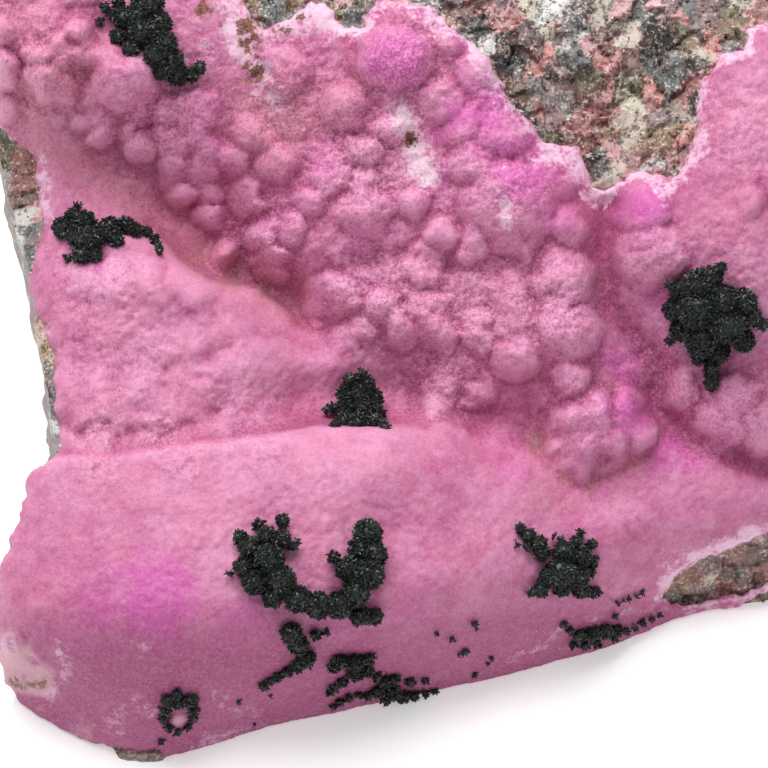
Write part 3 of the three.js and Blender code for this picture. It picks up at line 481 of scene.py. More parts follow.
def scattered_lumps(spacing, smallest, largest, height, contrast, seed):
    """Lumps on a shaken grid, higher where the crust is bumpy."""
    random = np.random.default_rng(seed)
    xs, ys = np.meshgrid(np.arange(-46, 58, spacing), np.arange(-40, 48, spacing))
    xs = xs.ravel() + random.uniform(-LUMP_SHAKE, LUMP_SHAKE, xs.size) * spacing
    ys = ys.ravel() + random.uniform(-LUMP_SHAKE, LUMP_SHAKE, ys.size) * spacing
    radius = random.uniform(smallest, largest, xs.size)
    strength = sample(bumpiness, xs, ys) ** contrast
    rise = height * radius * strength * random.uniform(0.5, 1.1, xs.size)
    return np.column_stack([xs, ys, radius, rise])


def blurred(values, reach):
    """Average over a square of grid cells, reach cells to each side."""
    for axis in (0, 1):
        padded = np.pad(values, [(reach + 1, reach) if a == axis else (0, 0) for a in (0, 1)], mode="edge")
        total = np.cumsum(padded, axis=axis)
        ahead, behind = [slice(None)] * 2, [slice(None)] * 2
        ahead[axis], behind[axis] = slice(2 * reach + 1, None), slice(None, -2 * reach - 1)
        values = (total[tuple(ahead)] - total[tuple(behind)]) / (2 * reach + 1)
    return values


medium = scattered_lumps(spacing=1.7, smallest=1.0, largest=2.1, height=0.4, contrast=1.1, seed=11)
small = scattered_lumps(spacing=0.8, smallest=0.45, largest=0.9, height=0.48, contrast=0.7, seed=12)
tiny = scattered_lumps(spacing=0.5, smallest=0.28, largest=0.48, height=0.8, contrast=0.4, seed=13)
scattered = raise_lumps(medium, bend(1.5, 0.4, 15), 0.5)
for lumps in (small, tiny):
    scattered += raise_lumps(lumps, (grid_right, grid_up), 0)
scattered -= blurred(scattered, LEVELLING)
print("scattered lumps, mm:", round(float(scattered.min()), 2), round(float(scattered.max()), 2))

# %% [markdown]
# ## The crust's surface
#
# The surface adds up the landform, the scarps and grooves, the four sizes of lumps and two fine ripples.
# At its edge the crust rounds down, in a tight lip beside bare rock and in a wider roll where it is the
# specimen's own outline.

# %% Height of the crust
TIGHT_LIP = 0.9
WIDE_ROLL = 2.6
LIP_SHARE = 0.8
RIPPLES = ((0.07, 0.4, 0.7, 21), (0.05, 0.6, 0.33, 22))  # height, least share, size, seed
PITS = [
    # right, up, radius, depth: where a crystal broke away
    (2.7, 24.2, 0.8, 0.8), (2.6, 23.2, 2.1, 0.4), (12.1, 17.6, 0.7, 0.6), (12.1, 17.6, 1.5, 0.3),
    (11.9, 21.4, 1, 0.3),
]


def lip_radius(right, up):
    """The roll is wide on the left outline and tight beside bare rock."""
    return TIGHT_LIP + (WIDE_ROLL - TIGHT_LIP) * smooth_step((-30 - right) / 4)


def lip_drop(distance, radius):
    """How far a quarter-round edge lies below the full height."""
    depth = np.clip(1 - distance / radius, 0, 1)
    return radius * (1 - np.sqrt(1 - depth ** 2)) + 1.5 * np.clip(-distance, 0, 6)


ground = landform(grid_right, grid_up) - scarp_fall(grid_right, grid_up)
crust_height = ground - groove_depth(grid_right, grid_up) + large_lumps + scattered
for height, least, size, seed in RIPPLES:
    crust_height += height * (least + bumpiness) * soft_noise(grid_right, grid_up, size, seed)
for x, y, radius, depth in PITS:
    crust_height -= depth * mound(x, y, radius)
# where the crust's foot stands on the table it has no lip
foot = smooth_step((grid_right - 20) / 8) * smooth_step((-21 - grid_up) / 3)
lip = LIP_SHARE * lip_drop(grid_inside, lip_radius(grid_right, grid_up)) * (1 - foot)
crust_height -= lip
print("crust height, mm:", round(float(crust_height.min()), 1), round(float(crust_height.max()), 1))

# %% [markdown]
# ## Colour maps of the crust
#
# Pink is painted deeper in creases, as painted shade where crystals shade each other, and paler on crests as
# painted light, and turns brown where clay dust stayed. A crease is where the surface lies below the average of
# its surroundings, so it can be worked out from the heights. The rest are broad patches: magenta where the crust
# holds more cobalt, pale where it is thin over the rock and painted light where it lifts shaded ground, dust
# that is painted shade on the upper slope, a clay band that lifts the shaded valley as painted light, and
# painted shade as a darker wine red on the front wall and the upper slope.

# %% Patches of colour
VALLEY_LINE = [(-37.5, 28.5), (-33, 23.5), (-27.5, 20.5), (-23.5, 17.5), (-19.5, 14.5), (-15.5, 10.5),
               (-11.9, 9.4), (-9, 7.5)]
# along the valley a paler clay colour also lifts the shaded floor as painted light
VALLEY_DUST, VALLEY_CLAY_AND_PAINTED_LIGHT = (3.2, 0.4), (2.6, 1)  # half width, strength
DUST_AND_PAINTED_SHADE = [
    # right, up, radius, strength, as in the lists of patches below
    (15.4, -5.8, 1.5, 1.4), (17.8, -9.7, 1.3, 1.3), (20.4, -10.2, 1.2, 1.1), (25, -7.6, 2.2, 0.6),
    (10.6, -9.2, 1.3, 0.5), (6.4, -3, 2.2, 0.5), (-12, 9.3, 1.2, 1.5), (12.8, 1.2, 1.6, 0.5),
    (-9.5, 3, 3, 0.35), (1.2, -0.8, 2.5, 0.35), (19, -8.6, 2.4, 0.5), (31, -6.6, 2, 0.4),
    (-15.4, 10.7, 1.7, 1.3), (-18.8, 13.2, 1.9, 1.1), (20.6, -6, 3.4, 0.5), (17, -11, 4.5, 0.75),
    # on the upper slope and at the upper left the dusty colour is painted shade
    (-20, 30, 5, 0.4), (-32, 31, 6, 0.8), (-10.5, 27, 6, 1.15), (-4, 28, 4, 0.7), (-36, 36, 5, 0.7),
]
MAGENTA = [
    (1.3, 32.2, 3.5, 1.3), (10, 27, 4.2, 1), (13.4, 22, 4.5, 1), (25.6, 17.4, 3, 1), (24, 2, 4, 0.6),
    (28, 8, 3, 0.5), (-27, -19, 3.4, 0.5), (-12, -22, 3.4, 0.45), (2, -21, 4.5, 0.5), (-29, -27, 6, 0.4),
    (6, 20, 4, 0.4), (17, 17, 3, 0.5), (20, 8, 3, 0.4), (24.3, -2.4, 3, 1), (20.6, -5, 4.5, 0.45),
    (-3, 27, 3, 0.3), (-8, -28, 6, 0.35), (14, -25, 5, 0.35), (-22, -21, 5, 0.95), (-14, -23, 4, 0.6),
    (-27, -22, 4, 0.6), (8, 33, 2.5, 0.5), (-10, 28, 5, 0.6), (-6, 23, 3, 0.5), (-17, 27, 4, 0.5),
    (30, -7.5, 5, 0.6), (34, -4, 4, 0.5), (12, 25, 3, 0.5), (-1, 15, 3, 0.45), (-11, 17, 4, 0.45),
    (18, -12, 5, 0.4), (13, -9, 2, 0.4), (24, -3, 3, 0.4), (-29, 13, 3, 0.3),
]
# pale patches: thin or pale crust, and painted light that lifts shaded ground behind the ledge, on the terrace
# and in the valley
PALE_AND_PAINTED_LIGHT = [
    (-22, 4, 9, 0.55), (-15, -12, 11, 0.6), (0, -11, 9, 0.55), (15, -13, 9, 0.5), (30, -12, 6, 0.45),
    (35, 10, 7, 0.45), (-2, 3, 5, 0.5), (-14, 33, 2.6, 0.9), (-13, 29, 1.8, 0.8), (-32.4, -28.5, 1.3, 0.6),
    (-37, -26, 2, 1), (2.6, 23.2, 1.7, 1), (12.1, 17.6, 1, 0.9), (11.9, 21.4, 0.9, 0.9), (37, 28, 5, 0.5),
    (-5, -8.2, 0.8, 0.7), (-5.8, -13, 0.7, 0.7), (-15.2, -20.4, 0.9, 0.6), (-24.4, -8.7, 1, 0.6),
    (9, 31, 3, 0.4), (-30, 8, 4, 0.5), (-20, -2.4, 6, 0.62), (-27, -2.4, 4, 0.6), (-15, 35.6, 2.2, 0.9),
    (-12.4, 31.4, 1.9, 1), (-11, 28.8, 1.4, 0.9), (-14.4, 33.4, 1.8, 0.9), (-17.6, 36.6, 1.6, 0.7),
    (-6, 36.6, 2, 1), (29, -19.6, 1, 0.9), (30.9, -17.3, 0.8, 1.1), (34.8, -16.3, 1.4, 0.9),
    (36.8, -14.6, 1.2, 0.9), (-26, 20, 6, 0.6), (-19.6, 15, 4, 0.4), (11.5, 30, 3, 0.8), (22, 8, 5, 0.4),
    (16, -1, 4, 0.3), (-33, 25, 4, 0.5), (11, 26, 4, 0.6), (18, 9, 5, 0.4), (4, 14, 9, 0.3), (12, 5, 7, 0.35),
    (-12, 1, 5, 0.5), (-24, -6, 4, 0.5), (-30, -5.6, 2.5, 0.55), (-24, -5.3, 2.5, 0.6), (-18, -4.4, 2.5, 0.6),
    (-12, -3.6, 2.5, 0.5), (-34.2, 20.6, 2.2, 0.85), (-34.2, 22.8, 1.8, 0.8), (-34, 18, 1.4, 0.8),
    (-33.5, 5, 1.3, 0.8), (-28, -35, 1.2, 0.6), (-14.5, -33, 1, 0.6), (-10, -31.6, 1, 0.5),
    (12, -27.4, 1.5, 0.4), (-32.1, -26.5, 0.8, 0.9), (-32.1, -31, 1, 0.7), (7.8, -4.9, 0.5, 0.7),
    (12.4, 2.8, 1.6, 0.4), (-5.4, -1.7, 0.7, 0.5),
]
WHITISH_LINES = [
    # half width, strength, line: along the top edge, down the left end, and low on the front wall
    (1.5, 0.8, [(-16.6, 37.4), (-14.2, 33.4), (-12, 30.4), (-10, 28.4)]),
    (0.9, 0.7, [(-38.6, 25.4), (-36, 23), (-34.8, 21.4), (-34.2, 18.4), (-33.8, 16)]),
    (1.2, 0.5, [(-19.4, 37.6), (-18, 34.4), (-16.4, 31.4)]),
    (1.3, 0.6, [(-8.6, 36.2), (-5, 37), (-2.4, 34.6)]),
    (1.5, 1.5, [(1.8, 26.6), (2.6, 24.4), (3.4, 22.2), (4.6, 20.6)]),
    (1.0, 1.1, [(12.0, 18.8), (12.2, 16.2)]),
    (0.8, 0.6, [(-31.9, -25.6), (-31.1, -28.1), (-32.5, -30.1), (-34.8, -32.5)]),
    (0.6, 0.55, [(-25.6, -25), (-22.6, -25.9)]),
    (1.0, 0.55, [(-27, -33.4), (-24.8, -31.4), (-23, -32.6)]),
    (0.7, 0.6, [(-31, -34.6), (-28, -33.6), (-26, -34.6)]),
    (1.1, 0.55, [(-16.6, -30.6), (-14.6, -32.2), (-12.6, -33)]),
    (1.0, 0.6, [(-19, -35.9), (-14.5, -34.8), (-9.4, -33.8)]),
    (0.6, 0.6, [(12.4, -27.8), (16, -26.2), (17.4, -24.6)]),
    (0.5, 0.6, [(20.6, -23.6), (25, -22.7), (28.6, -22.9)]),
]
BEIGE = [
    (-36.8, -28, 3.1, 1), (-34.6, -29.4, 2.3, 1), (-37.2, -24.6, 1.6, 0.6), (-20.3, -33.3, 0.9, 0.8),
    (-29.5, -34.4, 1.4, 0.7),
]
RUSTY = [
    (-13.8, 35.8, 1.2, 1), (-13.2, 34.2, 1.3, 1), (-13.1, 31.2, 1.2, 1), (-12.6, 32.6, 0.6, 0.9),
    (-11.2, 35.9, 0.9, 0.9), (-18, 37.4, 1.1, 0.9), (-16.4, 36.2, 0.6, 0.8), (-9.8, 35.2, 0.8, 0.8),
    (-8.4, 36.6, 0.7, 0.8), (-10.6, 30, 0.4, 0.8), (-36.8, -29.8, 0.8, 0.9), (-35.8, -29.9, 0.8, 0.9),
    (-34.6, -29.7, 0.8, 0.9), (-33.8, -29.6, 0.7, 0.8), (2.6, 24.3, 0.8, 1.4), (-35.5, 17.5, 0.8, 0.8),
    (-33.8, 6, 0.7, 0.7),
]
# painted shade on the upper slope and at the upper left
SLOPE_SHADE = [(-10.5, 28, 7, 0.22), (-31, 30, 7, 0.14), (-20, 27, 6, 0.12)]
# painted shade: the front wall darkens to wine red below its brow (right, up), fully so this much lower (right,
# mm)
BROW = [(-38, -20.5), (-10, -20.5), (5, -20), (16, -19.5), (30, -21.5)]
DEEPENING = [(-38, 8), (0, 7), (14, 4.5), (30, 3.5)]
# beside bare rock the crust has a pale rim
BARE_EDGES = [CRUST_EDGE[13:24], CRUST_EDGE[30:63]]
RIM_WIDTH, THINNEST_RIM = 1.15, 0.25
RIM_WAVES = ((1.5, 3.1, 31), (0.5, 1.1, 32))  # amount, size, seed
print("patches of colour:", sum(map(len, (DUST_AND_PAINTED_SHADE, MAGENTA, PALE_AND_PAINTED_LIGHT, BEIGE, RUSTY, SLOPE_SHADE))))


# %% Maps of painted relief shading, dust with painted shade, magenta, and pale parts with painted light
def twice_blurred(values, reach):
    """A softer average than a single one."""
    return blurred(blurred(values, reach), reach)


def band(line, half_width, strength=1):
    """A strength on a line of the grid, fading out to both sides."""
    return strength * np.exp(-(from_line(line) / half_width) ** 2)


full_height = crust_height + lip
narrow_crease = twice_blurred(full_height, 3) - full_height
wide_crease = twice_blurred(full_height, 9) - full_height
lump_border = np.clip(twice_blurred(large_lumps, 2) - large_lumps, 0, None)
# painted relief shading: darker in creases and around the large lumps, paler on crests
crease = np.clip(2 * narrow_crease + 0.1 * wide_crease + 2.5 * lump_border, -1, 1)
# dust in hollows and along the valley, and painted shade on the upper slope
dust = np.maximum(spread(DUST_AND_PAINTED_SHADE), band(VALLEY_LINE, *VALLEY_DUST))
# clay colour along the valley, also painted light on its shaded floor
clay = band(VALLEY_LINE, *VALLEY_CLAY_AND_PAINTED_LIGHT)
# the pale patches are partly painted light on shaded ground
magenta, pale, rust, beige = spread(MAGENTA), spread(PALE_AND_PAINTED_LIGHT), spread(RUSTY), spread(BEIGE)
whitish = np.zeros_like(grid_right)
for half_width, strength, line in WHITISH_LINES:
    whitish = np.maximum(whitish, band(line, half_width, strength))
brow, deepening = (np.interp(grid_right, *zip(*line)) for line in (BROW, DEEPENING))
# painted shade: darker wine red on the front wall below its brow and in patches on the upper slope
deep = np.maximum(smooth_step((brow - grid_up) / deepening), spread(SLOPE_SHADE))
rim_width = np.full_like(grid_right, RIM_WIDTH)
for amount, size, seed in RIM_WAVES:
    rim_width += amount * soft_noise(grid_right, grid_up, size, seed)
rim = np.zeros_like(grid_right)
for edge in BARE_EDGES:
    rim = np.maximum(rim, band(edge, np.maximum(rim_width, THINNEST_RIM)))
print("crease:", round(float(crease.std()), 2), "dust:", round(float(dust.mean()), 2))


# %% [markdown]
# ## Solids from heights
#
# A relief becomes a solid by giving it walls and a floor. Solids can then be cut with each other: the crust is
# what lies under its surface, inside its edge and above the rock. Blender's Boolean modifier does the cuts,
# with the solver made for closed meshes.

# %% Helpers for solids
DEEP = -90.0


def new_piece(name, points, faces):
    """A mesh object from points in mm and faces."""
    mesh = bpy.data.meshes.new(name)
    mesh.from_pydata((np.asarray(points, float) * MM).tolist(), [], faces)
    mesh.update()
    piece = bpy.data.objects.new(name, mesh)
    bpy.context.scene.collection.objects.link(piece)
    return piece


def solid_under(name, xs, ys, heights):
    """A closed solid from a relief down to DEEP."""
    right, up = np.meshgrid(xs, ys)
    rows, columns = right.shape
    top = on_table(right, up, heights).reshape(-1, 3)
    number = np.arange(rows * columns).reshape(rows, columns)
    corners = [number[:-1, :-1], number[:-1, 1:], number[1:, 1:], number[1:, :-1]]
    quads = np.stack(corners, axis=-1).reshape(-1, 4)
    ring = np.concatenate([number[0, :-1], number[:-1, -1], number[-1, :0:-1], number[:0:-1, 0]])
    floor = on_table(right.ravel()[ring], up.ravel()[ring], DEEP)
    below = rows * columns + np.arange(len(ring))
    walls = np.stack([ring, below, np.roll(below, -1), np.roll(ring, -1)], axis=-1)
    return new_piece(name, np.vstack([top, floor]), quads.tolist() + walls.tolist() + [below[::-1].tolist()])


def column(name, outline):
    """A closed column through an outline of the face."""
    count = len(outline)
    low, high = (on_table(outline[:, 0], outline[:, 1], np.full(count, h)) for h in (DEEP, -DEEP))
    sides = [[i, (i + 1) % count, count + (i + 1) % count, count + i] for i in range(count)]
    ends = [list(range(count))[::-1], list(range(count, 2 * count))]
    return new_piece(name, np.vstack([low, high]), sides + ends)


def settle(piece):
    """Replaces a piece's mesh by what its modifiers make of it, and removes them."""
    evaluated = piece.evaluated_get(bpy.context.evaluated_depsgraph_get())
    mesh = bpy.data.meshes.new_from_object(evaluated)
    piece.modifiers.clear()
    piece.data = mesh
    mesh.name = piece.name


def cut(piece, tool, operation):
    """Cuts a piece with a tool, INTERSECT or DIFFERENCE, and removes the tool."""
    boolean = piece.modifiers.new("cut", "BOOLEAN")
    boolean.solver = "MANIFOLD"
    boolean.operation = operation
    boolean.object = tool
    settle(piece)
    bpy.data.objects.remove(tool)


def table_block(name, low, high):
    """A plain block between two corners, as a cutting tool."""
    corners = [[(low, high)[(i >> k) & 1][k] for k in range(3)] for i in range(8)]
    faces = [[0, 2, 3, 1], [4, 5, 7, 6], [0, 1, 5, 4], [2, 6, 7, 3], [0, 4, 6, 2], [1, 3, 7, 5]]
    return new_piece(name, corners, faces)


def triangles(piece):
    """How many triangles a piece has."""
    return sum(len(p.vertices) - 2 for p in piece.data.polygons)


def wear(piece, material):
    """Gives a piece one material all over."""
    piece.data.materials.clear()
    piece.data.materials.append(material)


# %% [markdown]
# ## Grains of the bare rock
#
# Where the rock is bare it shows its grains, each with its own mineral, height and tilt. The ones that stand out
# are listed one by one and the rest fill the gaps by chance. A place belongs to the grain whose border it is
# furthest inside, so each grain becomes a many-sided patch with steps to its neighbours.

# %% Minerals and grains
MINERALS = {
    "black": (52, 50, 49), "slate": (92, 95, 94), "grey": (138, 130, 130), "mauve": (138, 114, 114),
    "brown": (104, 76, 64), "olive": (112, 104, 80), "gold": (152, 128, 100), "cream": (196, 186, 170),
    "white": (222, 221, 217), "salmon": (198, 138, 134), "rose": (220, 170, 174), "red": (136, 88, 82),
}
GRAINS = [
    # bare rock at the top: right, up, radius, mineral
    (13, 31.9, 1.6, "black"), (12, 32.4, 0.9, "black"), (15, 30.1, 1.3, "grey"), (14.3, 28.5, 1.1, "brown"),
    (17.5, 28.1, 1.5, "grey"), (17, 26.4, 1.4, "mauve"), (16.6, 24.5, 0.9, "olive"), (15.4, 26.4, 0.7, "black"),
    (10.1, 33.9, 0.9, "white"), (9.8, 34.9, 0.6, "slate"), (11.3, 33.9, 0.5, "black"), (11.6, 37, 1.4, "rose"),
    (13, 36.2, 0.8, "salmon"), (9.2, 37.4, 0.8, "brown"), (11.4, 38.2, 0.7, "grey"), (14.3, 34.7, 1.5, "mauve"),
    (12.7, 34.1, 0.7, "black"), (15, 33.4, 0.8, "brown"), (16.2, 35.1, 0.8, "cream"),
    (16.8, 37.5, 1.8, "white"), (14.6, 37.4, 1, "cream"), (18.8, 36.3, 1.4, "slate"), (20, 37.6, 0.9, "black"),
    (18.4, 34.3, 0.7, "white"), (19.4, 35.2, 0.5, "white"), (21.7, 37, 1.5, "cream"), (23.8, 37.4, 1, "rose"),
    (24.4, 35.8, 1, "cream"), (24.8, 34.3, 1, "cream"), (21.4, 35.1, 0.8, "mauve"), (22.6, 35, 0.8, "mauve"),
    (19.1, 32.6, 1.5, "slate"), (20.1, 30.8, 1.3, "olive"), (21, 29.3, 1.1, "brown"),
    (17.8, 31.4, 0.9, "mauve"), (16.1, 32.7, 0.8, "salmon"), (20.7, 33.6, 0.8, "rose"),
    (21.9, 32.6, 0.6, "salmon"), (22.5, 31.4, 0.5, "rose"), (23.4, 32.4, 0.6, "salmon"),
    (22.6, 30.2, 0.6, "salmon"), (22, 28.8, 0.6, "rose"), (21.6, 27.6, 0.7, "salmon"), (22.3, 33.7, 0.9, "red"),
    (24.6, 32, 1, "mauve"), (24.4, 30.6, 1.3, "olive"), (24.5, 28.3, 1, "cream"), (23.4, 28.7, 0.7, "olive"),
    (26.8, 29.1, 0.9, "salmon"), (26.6, 28.4, 0.5, "rose"), (27.6, 34.4, 2.2, "black"),
    (28.8, 31.6, 2, "slate"), (26.4, 36.8, 1.1, "slate"), (29.4, 35.4, 1.2, "olive"), (26.6, 32.2, 1, "slate"),
    (30.6, 34.2, 0.9, "gold"), (31.2, 31.9, 0.7, "black"), (31.4, 33, 0.7, "cream"),
    (32.9, 34.2, 0.7, "salmon"), (32.4, 35.4, 0.5, "salmon"), (35, 33.6, 0.9, "grey"),
    (32.2, 37.1, 1.5, "mauve"), (28.6, 37.5, 1, "mauve"), (29.7, 36.6, 0.7, "salmon"),
    (34.8, 36.6, 1.2, "olive"), (37.6, 37.8, 1, "red"), (30.8, 30, 0.8, "salmon"), (30.5, 28.4, 0.8, "red"),
    (29.8, 27.5, 0.6, "cream"), (27.6, 26.7, 1.3, "mauve"), (20.2, 26.3, 1.3, "salmon"),
    (21.1, 25.4, 0.7, "red"), (24.6, 25, 1.6, "cream"), (23.1, 25.2, 0.9, "gold"), (27.8, 24.9, 1.3, "gold"),
    (29.4, 24, 0.7, "salmon"), (29.5, 22.6, 0.6, "red"), (21.8, 21.9, 1, "slate"), (21.2, 22.8, 0.8, "black"),
    (22.6, 21.4, 0.7, "cream"), (20.6, 21.4, 0.7, "brown"), (24.7, 22.7, 1, "mauve"),
    (27.1, 22.2, 0.7, "white"), (28.2, 21.7, 0.6, "black"), (26, 23.4, 0.9, "brown"), (22.9, 23.7, 0.8, "rose"),
    (17.6, 25.6, 0.6, "rose"),
    # left rim
    (-38.2, 23.2, 1.1, "olive"), (-36.6, 22, 0.9, "red"), (-36.2, 20.2, 0.8, "red"), (-38, 20.6, 0.9, "grey"),
    (-36, 18.7, 0.7, "brown"), (-37.8, 18, 0.8, "grey"), (-36.3, 17, 0.9, "white"), (-35.4, 15.4, 0.7, "slate"),
    (-36.6, 14.6, 0.8, "white"), (-37.8, 15.6, 0.7, "mauve"), (-36.2, 12.4, 0.8, "grey"),
    (-36.4, 10.2, 0.6, "mauve"), (-35.2, 6.4, 0.5, "red"), (-34.9, 5.2, 0.5, "cream"),
    (-33.9, 3.2, 0.7, "gold"), (-33.8, 1.6, 0.7, "slate"), (-33.6, -0.2, 0.8, "black"),
    (-33.7, -2, 0.7, "slate"), (-33.4, -3.8, 0.8, "white"), (-33, -5.6, 0.6, "grey"),
    # bare rock at the lower right
    (29.3, -21.3, 0.9, "grey"), (28.6, -20.8, 0.5, "olive"), (29.3, -20, 0.5, "red"), (30.6, -19.2, 0.9, "red"),
    (30.3, -20.3, 0.6, "gold"), (31.9, -19.4, 0.7, "salmon"), (33, -19.3, 0.5, "cream"),
    (32.2, -20.4, 1.1, "mauve"), (32.6, -17.9, 1.1, "mauve"), (35.4, -17.7, 0.9, "red"),
    (34.3, -19.2, 0.9, "brown"), (36.2, -18.8, 0.8, "slate"), (33, -21.7, 0.5, "grey"),
    (31.5, -21.9, 0.7, "brown"), (34.8, -20.8, 1, "red"), (36.8, -19.8, 1, "brown"),
    (37.6, -17.6, 1.2, "brown"), (38.2, -18.8, 1, "red"), (37.8, -16, 1, "mauve"), (36.4, -21.9, 1.5, "red"),
]
GRAIN_GAP = 1.9
GRAIN_SHAKE = 0.6
LOOSE_RADIUS = (0.5, 1.3)
LIKE_ITS_NEIGHBOUR = 0.7
NEIGHBOURHOOD = 2.5
FILLERS = {
    "black": 2, "slate": 3, "grey": 3, "mauve": 3, "brown": 3, "olive": 2, "gold": 2, "cream": 2, "salmon": 1,
    "rose": 1,
}


def fill_in(grains, corner, far_corner, seed):
    """Loose grains on a shaken grid, wherever no placed grain is near."""
    random = np.random.default_rng(seed)
    kinds = random.permutation(np.repeat(list(FILLERS), [40 * share for share in FILLERS.values()]))
    placed = np.array([grain[:3] for grain in grains], float)
    loose = []
    for x in np.arange(corner[0], far_corner[0], GRAIN_GAP):
        for y in np.arange(corner[1], far_corner[1], GRAIN_GAP):
            place = np.array([x, y]) + random.uniform(-GRAIN_SHAKE, GRAIN_SHAKE, 2) * GRAIN_GAP
            radius, kind = random.uniform(*LOOSE_RADIUS), kinds[random.integers(len(kinds))]
            distances = np.hypot(*(placed[:, :2] - place).T)
            if random.uniform() < LIKE_ITS_NEIGHBOUR and distances.min() < NEIGHBOURHOOD:
                kind = grains[int(distances.argmin())][3]
            if np.all(distances > 0.75 * placed[:, 2] + 0.5 * radius):
                loose.append((*place, radius, kind))
    return loose


grains = GRAINS + fill_in(GRAINS, (-20, 14), (59, 49), 61) + fill_in(GRAINS, (26, -25), (47, -10), 62)
print("grains of rock:", len(grains))

# %% [markdown]
# ## The rock's face
#
# Under the crust the rock's face is smooth and only has to stay below the creases. Where it is bare the grains
# and some smaller chips break it up.

# %% Height of the rock's face
rock_x = lines_over((-47, -20, 0.7), (-20, 39, 0.26), (39, 59, 0.7))
rock_y = lines_over((-42, -34, 0.4), (-34, -25, 1.0), (-25, -14, 0.3), (-14, 14, 1.0), (14, 39, 0.26),
                    (39, 50, 0.6))
rock_right, rock_up = np.meshgrid(rock_x, rock_y)
rock_inside = inside(rock_right, rock_up, edge_line)
COVER_REACH, CREASE_REACH = 4, 2
UNDER_LANDFORM, CRUST_THICKNESS = 1.1, 1.2
WOBBLES = ((0.5, 1.1, 63), (0.2, 0.5, 67))  # reach, size, seed
GRAIN_LIFT, GRAIN_TILT, BORDER_DEPTH = 0.45, 0.3, 0.12
MOST_RELIEF = 1.2
FACE_CHIPS = ((0.7, 4.2, 41), (0.2, 1.0, 42), (0.07, 0.5, 43))  # depth, size, seed
TOE_HEIGHT, TOE_MIDDLE, TOE_WIDTH = 2, -25.5, 4.5


def rock_height(right, up, distance):
    """The rock's own face, which stays below the crust's creases where it is covered."""
    cover = smooth_step(distance / COVER_REACH)
    turns = np.arange(8) * math.pi / 4
    steps = [(0, 0)] + [(CREASE_REACH * math.cos(turn), CREASE_REACH * math.sin(turn)) for turn in turns]
    lowest = np.full(np.shape(right), np.inf)
    for across, along in steps:
        x, y = right + cover * across, up + cover * along
        lowest = np.minimum(lowest, landform(x, y) - scarp_fall(x, y) - groove_depth(x, y))
    return lowest - UNDER_LANDFORM - CRUST_THICKNESS * cover


def grain_net(right, up):
    """Which grain each place belongs to, and how far its border is."""
    nearest, second = np.full(right.shape, 99.0), np.full(right.shape, 99.0)
    owner = np.zeros(right.shape, int)
    x, y = right, up
    for reach, size, seed in WOBBLES:
        x = x + reach * soft_noise(right, up, size, seed)
        y = y + reach * soft_noise(right, up, size, seed + 1)
    for k, (grain_right, grain_up, radius, _) in enumerate(grains):
        gap = np.hypot(x - grain_right, y - grain_up) - 0.9 * radius
        closer = gap < nearest
        second = np.where(closer, nearest, np.minimum(second, gap))
        nearest, owner = np.where(closer, gap, nearest), np.where(closer, k, owner)
    return owner, second - nearest


owner, border = grain_net(rock_right, rock_up)
random = np.random.default_rng(65)
grain_places = np.array([grain[:2] for grain in grains])
grain_lifts = random.uniform(-GRAIN_LIFT, GRAIN_LIFT, len(grains))
grain_tilts = random.uniform(-GRAIN_TILT, GRAIN_TILT, (len(grains), 2))
grain_relief = grain_lifts[owner] - BORDER_DEPTH * smooth_step(1 - border / 0.5)
for axis, grid in enumerate((rock_right, rock_up)):
    grain_relief += (grid - grain_places[owner, axis]) * grain_tilts[owner, axis]
broken = np.clip(grain_relief, -MOST_RELIEF, MOST_RELIEF)
for depth, size, seed in FACE_CHIPS:
    broken += depth * facets(rock_right, rock_up, size, seed)
rock_heights = rock_height(rock_right, rock_up, rock_inside) + smooth_step(0.3 - rock_inside / 1.2) * broken
# a toe of rock shows below the crust at the lower left
toe = np.exp(-((rock_right - TOE_MIDDLE) / TOE_WIDTH) ** 4)
rock_heights += TOE_HEIGHT * toe * smooth_step((-36 - rock_up) / 1.2)
print("rock grid:", rock_right.shape)

# %% [markdown]
# ## The rock's walls
#
# The photographed side shows little of the rock's walls, so its back, right and under sides are plain broken
# faces: the plan of the measured part at several heights, with chips on it.

# %% Walls of the rock
ROCK_LEVELS = [
    # height over the table, and the plan there
    (0, [(-31.5, -33), (-10, -31), (8, -25.5), (27, -18.5), (39, -15.5), (48, -8), (53, 4), (51, 17), (46, 30),
         (34, 39), (19, 40), (4, 43.5), (-12, 41), (-25, 44), (-36, 38), (-37.4, 30), (-35, 20), (-33.2, 10),
         (-34, 2), (-35.6, -6), (-36, -15)]),
    (17, [(-38.4, -36), (-10, -38), (10, -34), (30, -30), (44, -22), (54, -9), (57.5, 6), (55, 19), (51, 32),
          (39, 42), (22, 44.5), (5, 46), (-13, 45.5), (-27, 46), (-39, 41), (-39.6, 30), (-37.6, 18), (-35.2, 8),
          (-33.6, -3), (-33, -8), (-38.8, -15)]),
    (56, [(-38.8, -38), (-10, -40), (10, -38), (30, -34), (45, -24), (54, -10), (55.5, 6), (54, 19), (49, 31),
          (37, 38.5), (22, 42), (5, 44), (-13, 42.5), (-27, 44.5), (-43, 43), (-43.5, 30), (-37.4, 17),
          (-35.4, 8), (-33.2, -3), (-33, -9), (-38.8, -15)]),
]
WALL_STEP = 0.8
POINTS_AROUND = 330
CHIP_DEPTH = 1.1
WALL_CHIPS = ((1.0, 9, 51), (0.7, 3.4, 52), (0.25, 1.3, 53))  # depth, size, seed
LEDGE_INSET = 3.3
HOLLOW_DEPTH, HOLLOW_PLACE, HOLLOW_WIDTH = 2.2, -12, 4.5


